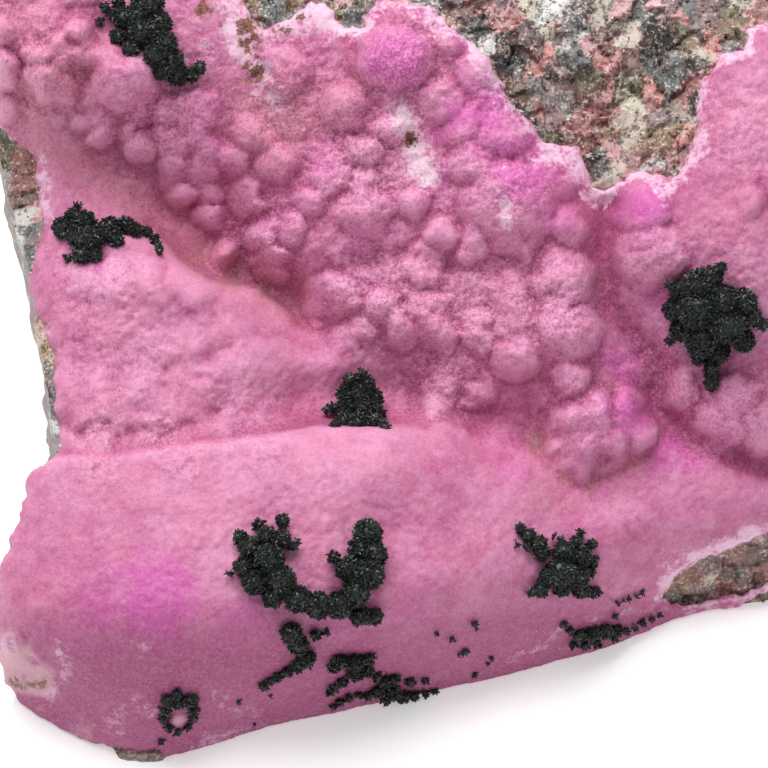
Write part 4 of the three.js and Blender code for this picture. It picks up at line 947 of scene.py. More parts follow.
def rock_block():
    """The rock before its face is cut, with chipped walls and a flat underside."""
    heights = np.arange(0, 56.1, WALL_STEP)
    corners = np.array([plan for _, plan in ROCK_LEVELS], float)
    levels, count = [z for z, _ in ROCK_LEVELS], corners.shape[1]
    plans = np.array([[[np.interp(z, levels, corners[:, i, k]) for k in (0, 1)] for i in range(count)]
                      for z in heights])
    closed = np.concatenate([plans, plans[:, :1]], axis=1)
    around = np.linspace(0, count, POINTS_AROUND, endpoint=False)
    i, share = around.astype(int), (around % 1)[None, :, None]
    rings = closed[:, i] * (1 - share) + closed[:, i + 1] * share
    arc = np.append(0, np.cumsum(np.linalg.norm(np.diff(rings[len(rings) // 2], axis=0), axis=1)))
    along, z = np.meshgrid(arc, heights)
    depth = np.full_like(along, CHIP_DEPTH)
    for deepest, size, seed in WALL_CHIPS:
        depth += deepest * facets(along, z, size, seed)
    # no chips at the seam where the ring closes, and a hollow in the left wall beside the ledge
    depth *= smooth_step(np.minimum(along, arc[-1] - along) / 3)
    x, y = rings[..., 0], rings[..., 1]
    depth += HOLLOW_DEPTH * np.exp(-((y - HOLLOW_PLACE) / HOLLOW_WIDTH) ** 2) * (x < -30)
    # the left wall is seen, so it keeps to its plan; below the ledge it steps back; the toe isn't chipped
    past_left, toe = smooth_step((x + 32) / 5), np.exp(-((x + 25) / 8) ** 4) * (y < -25)
    left_inset = 0.5 * (depth - CHIP_DEPTH) + LEDGE_INSET * smooth_step((-8 - y) / 4)
    inset = (left_inset * (1 - past_left) + 1.25 * depth * past_left) * (1 - toe)
    rings *= 1 - (inset / np.linalg.norm(rings, axis=-1))[..., None]
    return np.concatenate([rings + FACE_CENTRE[:2], z[..., None]], axis=-1)


wall_points = rock_block()
levels_high, ring_count = wall_points.shape[:2]
number = np.arange(levels_high * ring_count).reshape(levels_high, ring_count)
ahead = np.roll(number, -1, axis=1)
wall_faces = np.stack([number[:-1], ahead[:-1], ahead[1:], number[1:]], axis=-1).reshape(-1, 4).tolist()
wall_faces += [number[0, ::-1].tolist(), number[-1].tolist()]
rock = new_piece("matrix_rock_body", wall_points.reshape(-1, 3), wall_faces)
cut(rock, solid_under("rock_face", rock_x, rock_y, rock_heights), "INTERSECT")
print("rock triangles:", triangles(rock))

# %% [markdown]
# ## The crust as a solid
#
# The crust lies under its surface, inside its ragged edge and a little above the table. The rock's face is
# taken away from below, so the crust is a shell that fits the rock.

# %% Cut the crust
UNDER_STEP = 1.5
OVERLAP = 0.15
ABOVE_TABLE = 0.35
under_x, under_y = np.arange(-48, 60.1, UNDER_STEP), np.arange(-42, 51, UNDER_STEP)
under_right, under_up = np.meshgrid(under_x, under_y)
under_inside = np.maximum(inside(under_right, under_up, CRUST_EDGE), 0.4)
under_heights = rock_height(under_right, under_up, under_inside) - OVERLAP
crust = solid_under("calcite_crust_body", x_lines, y_lines, crust_height)
cut(crust, column("edge", edge_line), "INTERSECT")
cut(crust, solid_under("under", under_x, under_y, under_heights), "DIFFERENCE")
cut(crust, table_block("above_table", (-90, -90, ABOVE_TABLE), (90, 90, 90)), "INTERSECT")
print("crust triangles:", triangles(crust))


# %% Give every point of the crust its maps
def give_map(piece, name, values):
    """Stores one number at each point of a piece, for its material."""
    layer = piece.data.attributes.new(name, "FLOAT", "POINT")
    layer.data.foreach_set("value", np.ascontiguousarray(values, dtype=np.float32))


def points_of(piece):
    """A piece's points in mm."""
    flat = np.empty(len(piece.data.vertices) * 3)
    piece.data.vertices.foreach_get("co", flat)
    return flat.reshape(-1, 3) / MM


crust_right, crust_up, _ = on_face(points_of(crust))
crust_maps = {
    "crease": crease, "dust": dust, "magenta": magenta, "pale": pale, "rim": rim, "deep": deep, "rust": rust,
    "whitish": whitish, "beige": beige, "clay": clay, "bumpy": bumpiness,
}
for name, grid in crust_maps.items():
    give_map(crust, name, sample(grid, crust_right, crust_up))
crust.data.shade_smooth()
crust.data.set_sharp_from_angle(angle=math.radians(70))
print("maps on", len(crust.data.vertices), "points")


# %% Give every point of the rock its maps
def colour(red, green, blue):
    """A colour as seen on screen, from 0 to 255, as light."""
    light = [c / 255 / 12.92 if c < 10.3 else ((c / 255 + 0.055) / 1.055) ** 2.4 for c in (red, green, blue)]
    return (*light, 1.0)


NEAR_FACE = 3.5
FACES_UP = 0.4
BACK_WALL, RIGHT_WALL = 39.5, 40
VEIN_SIZE, VEIN_WIDTH, CONTACT_WIDTH = 3.4, 0.6, 0.7
x, y, out = on_face(points_of(rock))
grain_light = random.uniform(0.75, 1.2, len(grains))
grain_colours = np.array([colour(*MINERALS[kind])[:3] for *_, kind in grains]) * grain_light[:, None]
net_columns = np.clip(np.searchsorted(rock_x, x), 0, len(rock_x) - 1)
net_rows = np.clip(np.searchsorted(rock_y, y), 0, len(rock_y) - 1)
paint = rock.data.attributes.new("mineral", "FLOAT_COLOR", "POINT")
painted = np.column_stack([grain_colours[owner[net_rows, net_columns]], np.ones(len(x))])
paint.data.foreach_set("color", painted.astype(np.float32).ravel())
veins = smooth_step(0.1 + 1.8 * soft_noise(rock_right, rock_up, VEIN_SIZE, 66))
veins *= smooth_step(1 - border / VEIN_WIDTH)
normals = np.empty(len(rock.data.vertices) * 3)
rock.data.vertices.foreach_get("normal", normals)
on_top = out > sample(crust_height, x, y) - NEAR_FACE
on_top &= (normals[2::3] > FACES_UP) | ((y < BACK_WALL) & (x < RIGHT_WALL))
give_map(rock, "vein", veins[net_rows, net_columns] * on_top)
contact = on_top * np.exp(-np.clip(-sample(grid_inside, x, y), 0, None) / CONTACT_WIDTH)
give_map(rock, "contact", contact * np.where(x < -30, 0.3, 1.0))
left_rim = (x < -32) & (y > -8) & (y < 26)
rock_top = (x > -20) & (x < 45) & ((y > 14) | (x > 26))
give_map(rock, "bare", on_top & (left_rim | rock_top))
give_map(rock, "gritty", on_top & (contact < 0.6) & (y > 14) & (x > -20) & (x < 40))
rock.data.shade_smooth()
rock.data.set_sharp_from_angle(angle=math.radians(24))
print("maps on", len(rock.data.vertices), "points, bare:", int(on_top.sum()))

# %% [markdown]
# ## Node trees in Python
#
# Materials and geometry recipes are both node trees. Two small classes keep them readable: a board adds nodes,
# and a wire is one output of a node, on which plain arithmetic adds Math nodes.


# %% Board and wire
class Wire:
    """One output of a node."""

    def __init__(self, board, output):
        self.board, self.output = board, output

    def math(self, operation, first, second):
        return self.board.node("ShaderNodeMath", {0: first, 1: second}, operation=operation)

    def __add__(self, other):
        return self.math("ADD", self, other)

    def __sub__(self, other):
        return self.math("SUBTRACT", self, other)

    def __mul__(self, other):
        return self.math("MULTIPLY", self, other)

    def __rsub__(self, other):
        return self.math("SUBTRACT", other, self)

    __radd__, __rmul__ = __add__, __mul__

    def ramp(self, low, high):
        """0 where the value is at low, 1 at high, smooth between."""
        return self.board.node("ShaderNodeMapRange", {0: self, 1: low, 2: high}, interpolation_type="SMOOTHSTEP")


class Board:
    """A node tree that is being wired."""

    def __init__(self, tree):
        self.tree = tree

    def feed(self, socket, value):
        if isinstance(value, Wire):
            self.tree.links.new(value.output, socket)
        else:
            socket.default_value = value

    def node(self, kind, sockets=None, output=0, stops=None, **settings):
        """Any node: its settings and stops first, then its sockets; returns one output."""
        made = self.tree.nodes.new(kind)
        for name, value in settings.items():
            setattr(made, name, value)
        if stops:
            for _ in stops[2:]:
                made.color_ramp.elements.new(0.5)
            for element, (place, colour) in zip(made.color_ramp.elements, stops):
                element.position, element.color = place, colour
        for key, value in (sockets or {}).items():
            self.feed(made.inputs[key], value)
        return Wire(self, made.outputs[output])

    def noise(self, size, detail=2.0, place=None):
        """Noise from about 0.3 to 0.7 with features of a size in mm."""
        sockets = {"Scale": 1 / (size * MM), "Detail": detail}
        if place:
            sockets["Vector"] = place
        return self.node("ShaderNodeTexNoise", sockets)

    def mix(self, factor, first, second):
        """A colour between two."""
        return self.node("ShaderNodeMix", {0: factor, 6: first, 7: second}, output=2, data_type="RGBA")

    def cells(self, size, place, output=0):
        """Cells of a size in mm: the distance to the nearest middle, or with output 1 a colour for each."""
        return self.node("ShaderNodeTexVoronoi", {"Vector": place, "Scale": 1 / (size * MM)}, output=output)

    def vector(self, operation, first, second):
        """One step of vector arithmetic."""
        key = "Scale" if operation == "SCALE" else 1
        return self.node("ShaderNodeVectorMath", {0: first, key: second}, operation=operation)

    def map(self, name):
        """A number stored at each point of the piece."""
        return self.node("ShaderNodeAttribute", output=2, attribute_name=name)

    def layered(self, body, layers):
        """Lays colours over a body one after the other; each layer is its share and its colour."""
        for share, shade in layers:
            body = self.mix(share, body, colour(*shade))
        return body


def new_finish(name, **constants):
    """A material, its board and its shader, with the shader's fixed numbers set."""
    material = bpy.data.materials.new(name)
    material.use_nodes = True
    shader = material.node_tree.nodes["Principled BSDF"]
    for key, value in constants.items():
        shader.inputs[key.replace("_", " ")].default_value = value
    return material, Board(material.node_tree), shader


# %% [markdown]
# ## Pink calcite
#
# Cobalt colours the calcite pink. Up close it is a felt of tiny crystals: matt, with a fine grain, painted
# lighter on the crests and deeper in the creases as painted light and shade, with brown dust in the hollows.

# %% Finish of the crust
pink, board, shader = new_finish("cobalt_pink_calcite", Roughness=0.6, Subsurface_Weight=0.12,
                                 Subsurface_Scale=0.5 * MM, Sheen_Weight=0.1, Sheen_Roughness=0.5)
shader.inputs["Subsurface Radius"].default_value = (0.7, 0.4, 0.5)
place = board.node("ShaderNodeTexCoord", output=3)
broad, cloudy, blush = board.noise(9, 3, place), board.noise(2.2, 3, place), board.noise(5, 3, place)
fuzz, grain, sugar = board.noise(0.8, 4, place), board.noise(0.38, 3, place), board.noise(0.13, 2, place)
felt, fine_felt = board.cells(0.6, place), board.cells(0.26, place)
# painted relief shading, and dust that is partly painted shade
painted_relief_shading_map, dust_and_painted_shade_map, rim_map = board.map("crease"), board.map("dust"), board.map("rim")
# pale parts, partly painted light
pale_and_painted_light_map, whitish_map, rust_map = board.map("pale"), board.map("whitish"), board.map("rust")
# painted shade on the front wall and the upper slope
painted_shade_map = board.map("deep")
soft = board.map("bumpy") * 0.8 + 0.16

# what each layer needs: light and dark, with painted shade in creases and painted light on crests and lifted
# ground, magenta, specks, pale parts and the grain of the felt
tone = (cloudy - 0.5) * 1.2 + (broad - 0.5) * 1.1 + (fuzz - 0.5) * 1.0 * soft + pale_and_painted_light_map * 0.7
tone = tone + soft * 0.5 - 0.28 - painted_relief_shading_map * 0.58
violet = board.map("magenta") + (board.noise(3.4, 4, place) - 0.5) * 1.2
violet = violet + (board.noise(1.2, 3, place) - 0.5) * 0.7
specks = board.noise(0.3, 3, place) + dust_and_painted_shade_map * 0.07 + painted_relief_shading_map * 0.12 + board.map("bumpy") * 0.03
mottle = (grain - 0.5) * 1.4 + (cloudy - 0.5) * 1.6 + (fuzz - 0.5) * 1.8
white = rim_map * 0.6 + pale_and_painted_light_map.ramp(0.62, 1.0) * 0.9 + whitish_map * 0.75
# high where the felt's crystals stand up, for painted highlights on them and painted shade between them
crystals = grain + sugar - 1

body = board.mix(tone.ramp(-0.65, 1.0), colour(170, 66, 120), colour(217, 148, 183))
body = board.layered(body, [
    # a warm blush, magenta, clay along the valley that also lifts it as painted light, and painted shade in wine
    # red low on the front wall and on the upper slope
    (blush.ramp(0.42, 0.62) * 0.35, (208, 120, 152)),
    (violet.ramp(0.1, 1.05) * 0.9, (196, 74, 160)),
    (board.map("clay") * 0.5, (204, 126, 142)),
    (painted_shade_map * 0.8, (144, 44, 100)),
    # painted shade in creases, dust in two strengths that is also painted shade on the upper slope, and dark
    # specks
    ((painted_relief_shading_map + (fuzz - 0.5) * 0.5).ramp(0.15, 1.0) * 0.44, (150, 46, 92)),
    ((dust_and_painted_shade_map + (cloudy - 0.5) * 0.5).ramp(0.2, 1.0) * 0.66, (186, 107, 120)),
    ((dust_and_painted_shade_map + (cloudy - 0.5) * 1.2 + (grain - 0.5) * 0.8).ramp(0.8, 1.5) * 0.65, (132, 92, 80)),
    (specks.ramp(0.65, 0.73) * 0.5, (118, 62, 62)),
    # beige ends, the frayed rim, thin pale parts and whitish streaks
    ((board.map("beige") + (cloudy - 0.5) * 1.2).ramp(0.3, 0.8) * 0.8, (202, 158, 166)),
    ((rim_map + mottle).ramp(0.2, 1.1) * rim_map.ramp(0.1, 0.6) * 0.8, (226, 172, 202)),
    ((white + mottle).ramp(0.25, 1.0) * white.ramp(0.0, 0.4) * (0.84 - painted_shade_map * 0.45), (231, 196, 217)),
    ((whitish_map + mottle * 0.6).ramp(0.7, 1.5) * (0.55 - painted_shade_map * 0.35), (250, 238, 238)),
    # the felt: painted shade between its crystals and painted highlights on them
    ((felt * 0.35 + fine_felt * 0.65).ramp(0.2, 0.8) * 0.33 * soft, (160, 50, 114)),
    (crystals.ramp(-0.16, 0.24) * 0.6 * soft, (240, 176, 210)),
    (crystals.ramp(-0.05, -0.22) * 0.55 * soft, (154, 48, 104)),
])
stain = rust_map + (cloudy - 0.5) * 1.4 + (fuzz - 0.5) * 3.0 + (grain - 0.5) * 2.4
ore = (grain * 0.6 + sugar * 0.6 + fuzz * 0.4).ramp(0.74, 0.94)
brown = board.mix(ore, colour(48, 38, 34), colour(160, 94, 74))
body = board.mix(stain.ramp(0.35, 0.95) * rust_map.ramp(0.05, 0.5), body, brown)
board.feed(shader.inputs["Base Color"], body)
height = fuzz * 0.6 + grain * 0.5 + sugar * 0.25 - felt * 0.5 - fine_felt * 0.25
relief = board.node("ShaderNodeBump", {"Height": height * soft, "Strength": 0.85, "Distance": 0.25 * MM})
board.feed(shader.inputs["Normal"], relief)
wear(crust, pink)
print("crust finish:", len(board.tree.nodes), "nodes")

# %% [markdown]
# ## Matrix rock
#
# On the bare face each grain already has its mineral's colour. The walls get theirs from cells that fill space.
# Fine noise then speckles every grain, and pink calcite fills some borders and the line where the crust begins.

# %% Finish of the rock
stone, board, shader = new_finish("host_rock")
place = board.node("ShaderNodeTexCoord", output=3)
bent = board.vector("ADD", place, board.vector("SCALE", board.noise(1.4, 3, place), 1.3 * MM))
pick = board.node("ShaderNodeSeparateColor", {0: board.cells(2.4, bent, output=1)})
WALL_KINDS = (
    "slate", "grey", "brown", "cream", "mauve", "grey", "olive", "brown", "grey", "slate", "mauve", "cream",
)
stops = [(0.08 + 0.075 * k, colour(*MINERALS[kind])) for k, kind in enumerate(WALL_KINDS)]
walls = board.node("ShaderNodeValToRGB", {0: pick}, stops=stops)
mineral = board.node("ShaderNodeAttribute", attribute_name="mineral")
fine, speckle, cloud = board.noise(0.6, 5, place), board.noise(0.28, 4, place), board.noise(1.4, 3, bent)
chips = board.node("ShaderNodeSeparateColor", {0: board.cells(0.7, bent, output=1)})
patchy = cloud * 0.5 + fine * 0.7 + speckle * 0.8 + chips * 0.15 - 1.08
rocky = board.layered(board.mix(board.map("bare"), walls, mineral), [
    (patchy.ramp(0.0, 0.22) * 0.6, (196, 182, 174)),
    (patchy.ramp(0.0, -0.2) * 0.8, (62, 54, 52)),
    (board.noise(2.6, 4, place).ramp(0.52, 0.66) * 0.4, (158, 112, 108)),
])
vein = board.map("vein") + (board.map("contact") - 0.3) * 0.8 + (fine - 0.5) * 1.3
salmon = board.mix(fine.ramp(0.4, 0.6), colour(174, 110, 106), colour(222, 172, 174))
rocky = board.layered(board.mix(vein.ramp(0.35, 0.8) * 0.65, rocky, salmon), [
    (speckle.ramp(0.44, 0.3) * 0.5, (48, 42, 40)),
    ((speckle + cloud * 0.3).ramp(0.76, 0.86) * 0.7, (224, 219, 212)),
])
board.feed(shader.inputs["Base Color"], rocky)
shine = board.node("ShaderNodeRGBToBW", {0: rocky})
board.feed(shader.inputs["Roughness"], shine.ramp(0.02, 0.25) * 0.45 + 0.3)
height = fine * 0.7 + speckle * 0.35 + cloud * 0.6
relief = board.node("ShaderNodeBump", {"Height": height, "Strength": 0.6, "Distance": 0.25 * MM})
board.feed(shader.inputs["Normal"], relief)
wear(rock, stone)
print("rock finish:", len(board.tree.nodes), "nodes")

# %% [markdown]
# ## Malachite tufts
#
# Each tuft is a clump of dark blades that grew outwards from the crust. Its body is a union of balls at the
# measured places, melted into one, and a Geometry Nodes recipe plants blades all over it.

# %% Places of the tufts
TUFTS = {
    "malachite_tuft_top_left": [
        (-24.2, 39.2, 1.3, 0.6), (-23.4, 37.9, 1.6, 0.9), (-25.9, 36.4, 1.1, 0.7), (-24.4, 36.6, 1.5, 1),
        (-22.4, 35.9, 1.3, 0.8), (-24, 34.9, 1.6, 1.1), (-26.5, 34.5, 0.8, 0.4), (-25.2, 33.2, 0.8, 0.5),
        (-22, 33.8, 1.5, 1.1), (-22.8, 32.6, 1.2, 0.8), (-21.2, 32.2, 1.3, 1), (-22.2, 31.2, 1, 0.5),
        (-20.6, 30.8, 1.1, 0.7), (-19.2, 30.8, 0.7, 0.5), (-18.4, 31.6, 0.6, 0.5), (-27.1, 36.8, 0.45, 0.6),
        (-27.8, 37.5, 0.5, 0.6), (-28.2, 36.1, 0.4, 0.4), (-26.4, 37.8, 0.6, 0.6),
    ],
    "malachite_tuft_left": [
        (-32.2, 15.7, 1.1, 0.6), (-31.2, 16.9, 0.7, 0.6), (-30.8, 17.8, 0.4, 0.6), (-29.9, 16.2, 1.2, 0.9),
        (-30.8, 14.8, 1, 0.8), (-29.4, 14.4, 1.4, 1), (-30.2, 12.9, 0.9, 0.6), (-31.5, 12.6, 0.4, 0.3),
        (-28.8, 12.9, 0.7, 0.5), (-27.4, 15.8, 1, 0.8), (-25.9, 15.9, 0.9, 0.7), (-26.8, 14.5, 0.8, 0.5),
        (-24.9, 15.4, 0.7, 0.6), (-23.7, 15.3, 0.5, 0.8), (-23, 14.6, 0.45, 0.8), (-22.6, 13.9, 0.4, 0.8),
        (-22.4, 13.3, 0.35, 0.7), (-28.4, 15, 1, 0.6),
    ],
    "malachite_tuft_centre": [
        (-2.2, 1, 0.5, 2.6), (-3.4, 0.4, 0.7, 2.2), (-1.8, -0.1, 1, 2.4), (-3.9, -0.9, 0.9, 1.8),
        (-2.6, -1.2, 1.4, 2), (-1.1, -1.4, 1, 1.8), (-3.7, -2.5, 1.1, 1.4), (-1.9, -2.7, 1.5, 1.5),
        (-0.7, -3, 0.9, 1.2), (-4.9, -2.4, 0.55, 1.1), (-5.7, -2.5, 0.4, 1.1), (-4, -3.7, 0.9, 1),
        (-4.9, -4.1, 0.5, 0.7), (-2.5, -3.9, 1.1, 1), (-0.9, -3.9, 0.9, 0.9), (0.1, -4.2, 0.5, 0.7),
    ],
    "malachite_tuft_right": [
        (31.1, 9.7, 1.8, 1.6), (32.4, 10.6, 1.1, 1.3), (33.2, 11.5, 0.5, 1.3), (29.2, 9.3, 1, 1),
        (28.2, 9.9, 0.35, 0.9), (28.8, 7.4, 1.2, 1), (31.1, 7.4, 2.3, 2), (33.6, 8.2, 1.7, 1.8),
        (35.6, 8.2, 1.3, 1.4), (34, 5.9, 2.1, 2), (36.4, 6.6, 1, 1.4), (37.4, 5.9, 0.6, 1.3),
        (35.6, 4.3, 1.2, 1.2), (31.6, 4.5, 2, 1.6), (29.4, 5.3, 1.1, 1), (28.4, 4.2, 0.4, 0.9),
        (33.2, 3.3, 1.2, 1.1), (31.2, 2.7, 0.8, 0.8), (32.6, 1.7, 0.8, 1.1), (32.6, 0.9, 0.75, 1.1),
        (32.5, 0.1, 0.7, 1.1),
    ],
    "malachite_tuft_front_fork": [
        (-9.9, -13.4, 0.65, 1.2), (-12.2, -13.8, 0.6, 0.9), (-14.1, -15, 0.7, 0.8), (-11.4, -14.9, 1, 1.3),
        (-10, -15.1, 0.9, 1.2), (-13.1, -16, 1.1, 1.1), (-8.6, -15.4, 0.35, 0.9), (-8.9, -15.9, 0.45, 0.9),
        (-11.2, -17.1, 1.6, 1.7), (-13.7, -17.8, 1, 0.9), (-15.1, -18.5, 0.35, 0.5), (-12.6, -19.3, 1.3, 1),
        (-10, -19.1, 1.5, 1.4), (-10.9, -20.9, 1, 0.8), (-8.4, -21, 1.4, 1), (-6.4, -21.6, 1.4, 1),
        (-4.4, -21.6, 1.4, 0.9), (-4.9, -16.9, 0.6, 1), (-3.6, -18, 1.2, 1.2), (-1.6, -14.6, 1.5, 1.8),
        (-2.4, -16.1, 1.2, 1.5), (-1, -16.7, 1.4, 1.7), (-1.6, -18.6, 1.7, 1.5), (-2.8, -20.4, 1.5, 1.2),
        (-2.4, -22.7, 1, 0.7), (-1, -22.8, 0.85, 0.6),
    ],
    "malachite_tuft_front_star": [
        (13.5, -14.3, 0.5, 0.5), (14.3, -14.9, 0.65, 0.6), (15.4, -15.7, 0.75, 0.7), (13.2, -15.8, 0.3, 0.4),
        (14.2, -16.1, 0.4, 0.5), (15.6, -16.7, 0.8, 0.7), (16.8, -15, 0.3, 0.5), (17.5, -15.3, 0.35, 0.5),
        (19.5, -14.8, 0.4, 0.6), (19.1, -15.6, 0.65, 0.7), (20.6, -15.9, 0.55, 0.6), (17.8, -16.7, 1.2, 1),
        (19.4, -17.1, 1.2, 0.9), (20.8, -17.6, 0.55, 0.6), (20.4, -18.6, 0.6, 0.6), (17.5, -18.6, 1.6, 1.1),
        (19.1, -19.1, 1.3, 0.9), (16.1, -19.2, 0.9, 0.6), (15.5, -20.3, 0.75, 0.5), (14.7, -20.6, 0.45, 0.4),
        (17.6, -20.2, 0.9, 0.6), (19.4, -20.4, 0.9, 0.5), (20.6, -20.7, 0.6, 0.5), (21.3, -20.6, 0.4, 0.4),
    ],
    "malachite_tuft_front_knot": [
        (-9.1, -24.4, 1.1, 0.7), (-8.4, -25.6, 1, 0.6), (-7.7, -27, 1, 0.6), (-6.7, -24.6, 0.5, 0.4),
        (-5.6, -24.4, 0.35, 0.3), (-8.5, -27.8, 0.65, 0.3), (-9.5, -28.4, 0.55, 0.3), (-10.4, -28.9, 0.5, 0.3),
        (-11.3, -29.3, 0.45, 0.25), (-12, -29.8, 0.4, 0.2),
    ],
    "malachite_tuft_front_patch": [
        (-4.4, -27.4, 0.9, 0.5), (-2.9, -27.4, 0.9, 0.5), (-1.4, -27.1, 0.6, 0.4), (-5.1, -28, 0.45, 0.3),
        (-2.9, -28.6, 0.9, 0.5), (-1.6, -28.4, 0.6, 0.4), (-4.1, -29.5, 0.5, 0.3), (-4.9, -30.2, 0.5, 0.25),
        (-5.5, -30.8, 0.35, 0.2),
    ],
    "malachite_tuft_front_arc": [
        (-5.1, -32.2, 0.35, 0.2), (-4.4, -31.7, 0.4, 0.25), (-3.5, -31.3, 0.4, 0.25), (-2.6, -31.1, 0.4, 0.3),
        (-1.6, -31.1, 0.45, 0.3), (-0.6, -30.6, 0.7, 0.4), (0.1, -29.6, 0.7, 0.4), (-0.7, -29.1, 0.5, 0.35),
        (1, -29.4, 0.6, 0.4), (0.8, -30.8, 0.9, 0.5), (0.1, -31.6, 0.5, 0.3), (1.9, -31.3, 0.7, 0.4),
        (3, -31.2, 0.55, 0.3), (4.1, -31, 0.4, 0.2), (5.1, -30.8, 0.35, 0.2),
    ],
    "malachite_tuft_front_streak": [
        (17.9, -24, 0.35, 0.3), (18.6, -24.6, 0.45, 0.3), (19.6, -25.2, 0.65, 0.4), (20.8, -25, 0.75, 0.5),
        (22.2, -24.8, 0.75, 0.5), (23.4, -24.8, 0.65, 0.4), (19, -26.1, 0.45, 0.2), (20.1, -26.3, 0.5, 0.3),
        (21.3, -26, 0.5, 0.3), (23.2, -25.6, 0.4, 0.3), (24.4, -24.9, 0.4, 0.3), (25.4, -24.6, 0.35, 0.25),
        (26.1, -24.1, 0.35, 0.25), (27, -23.7, 0.3, 0.2), (27.9, -23.4, 0.28, 0.2),
    ],
    "malachite_tuft_front_ring": [
        (-20.4, -30.6, 0.55, 0.35), (-21.3, -31.2, 0.6, 0.35), (-20.3, -31.5, 0.6, 0.35),
        (-19.2, -31.2, 0.6, 0.35), (-18.6, -31, 0.4, 0.3), (-18.8, -32.1, 0.55, 0.3), (-18.9, -33, 0.5, 0.25),
        (-21.6, -32.2, 0.55, 0.3), (-21.7, -33.1, 0.5, 0.25), (-21.3, -34, 0.45, 0.25),
        (-20.4, -34.4, 0.4, 0.2), (-19.4, -33.9, 0.4, 0.2),
    ],
}
print("tufts:", len(TUFTS), "clumps:", sum(len(clumps) for clumps in TUFTS.values()))

# %% Ball points for a clump
BALL_SIDES, BALL_RINGS = 14, 8


def ball(centre, radii):
    """Points and faces of a closed ball, drawn out along the face's outward direction."""
    points, faces = [centre + OUT * radii[1]], []
    for ring in range(1, BALL_RINGS):
        tilt = math.pi * ring / BALL_RINGS
        for side in range(BALL_SIDES):
            turn = 2 * math.pi * side / BALL_SIDES
            across = RIGHT * math.cos(turn) + UP * math.sin(turn)
            points.append(centre + radii[0] * math.sin(tilt) * across + OUT * radii[1] * math.cos(tilt))
    points.append(centre - OUT * radii[1])
    for side in range(BALL_SIDES):
        after = (side + 1) % BALL_SIDES
        faces.append([0, 1 + side, 1 + after])
        for ring in range(BALL_RINGS - 2):
            a = 1 + ring * BALL_SIDES
            faces.append([a + side, a + BALL_SIDES + side, a + BALL_SIDES + after, a + after])
        last = 1 + (BALL_RINGS - 2) * BALL_SIDES
        faces.append([last + side, len(points) - 1, last + after])
    return points, faces


# %% Body of one tuft
CORE_VOXEL = 0.2
CORE_SHARE = 0.86
CORE_STRETCH = 1.1
CORE_RAISE = 0.2


def tuft_core(name, clumps):
    """The balls of a tuft melted into one closed body."""
    points, faces = [], []
    for right, up, radius, lift in clumps:
        height = sample(crust_height, right, up)
        centre = on_table(right, up, height + CORE_RAISE + lift)
        new_points, new_faces = ball(centre, (CORE_SHARE * radius, CORE_SHARE * radius * CORE_STRETCH))
        faces += [[k + len(points) for k in face] for face in new_faces]
        points += new_points
    core = new_piece(name, points, faces)
    remesh = core.modifiers.new("melt", "REMESH")
    remesh.mode, remesh.voxel_size = "VOXEL", CORE_VOXEL * MM
    settle(core)
    return core


SPECKS = [
    (23.4, -21.9, 0.3, 0.1), (24, -21.7, 0.25, 0.1), (24.6, -21.5, 0.3, 0.1), (25.3, -21.3, 0.3, 0.1),
    (26, -21, 0.25, 0.1), (23.2, -23.3, 0.35, 0.1), (5.2, -24.7, 0.28, 0.1), (6.8, -25.3, 0.32, 0.1),
    (9, -23.8, 0.38, 0.1), (9.2, -24.3, 0.25, 0.1), (8.1, -26.7, 0.42, 0.1), (7.4, -27, 0.25, 0.1),
    (10.8, -27.4, 0.3, 0.1), (10.5, -28, 0.22, 0.1), (9.1, -29.1, 0.32, 0.1), (-22.1, -35.5, 0.38, 0.1),
    (-14.4, -31.5, 0.28, 0.1), (-12.9, -34, 0.22, 0.1), (-18.9, 6.8, 0.18, 0.05), (-11.6, -30, 0.28, 0.1),
    (-11.2, -31, 0.25, 0.1), (2.6, -29.7, 0.55, 0.2), (4.1, -29.7, 0.38, 0.2),
]
cores = {name: tuft_core(name + "_blades", clumps) for name, clumps in TUFTS.items()}
specks = tuft_core("malachite_specks", SPECKS)
print("core triangles:", sum(triangles(core) for core in cores.values()))

# %% [markdown]
# The recipe scatters points over a body, puts a small slanted blade on each, turns it at random about the
# surface's own direction, and joins the result with the body. The same recipe serves every scatter here, so
# its crystal, number, sizes, lean and seed are inputs.


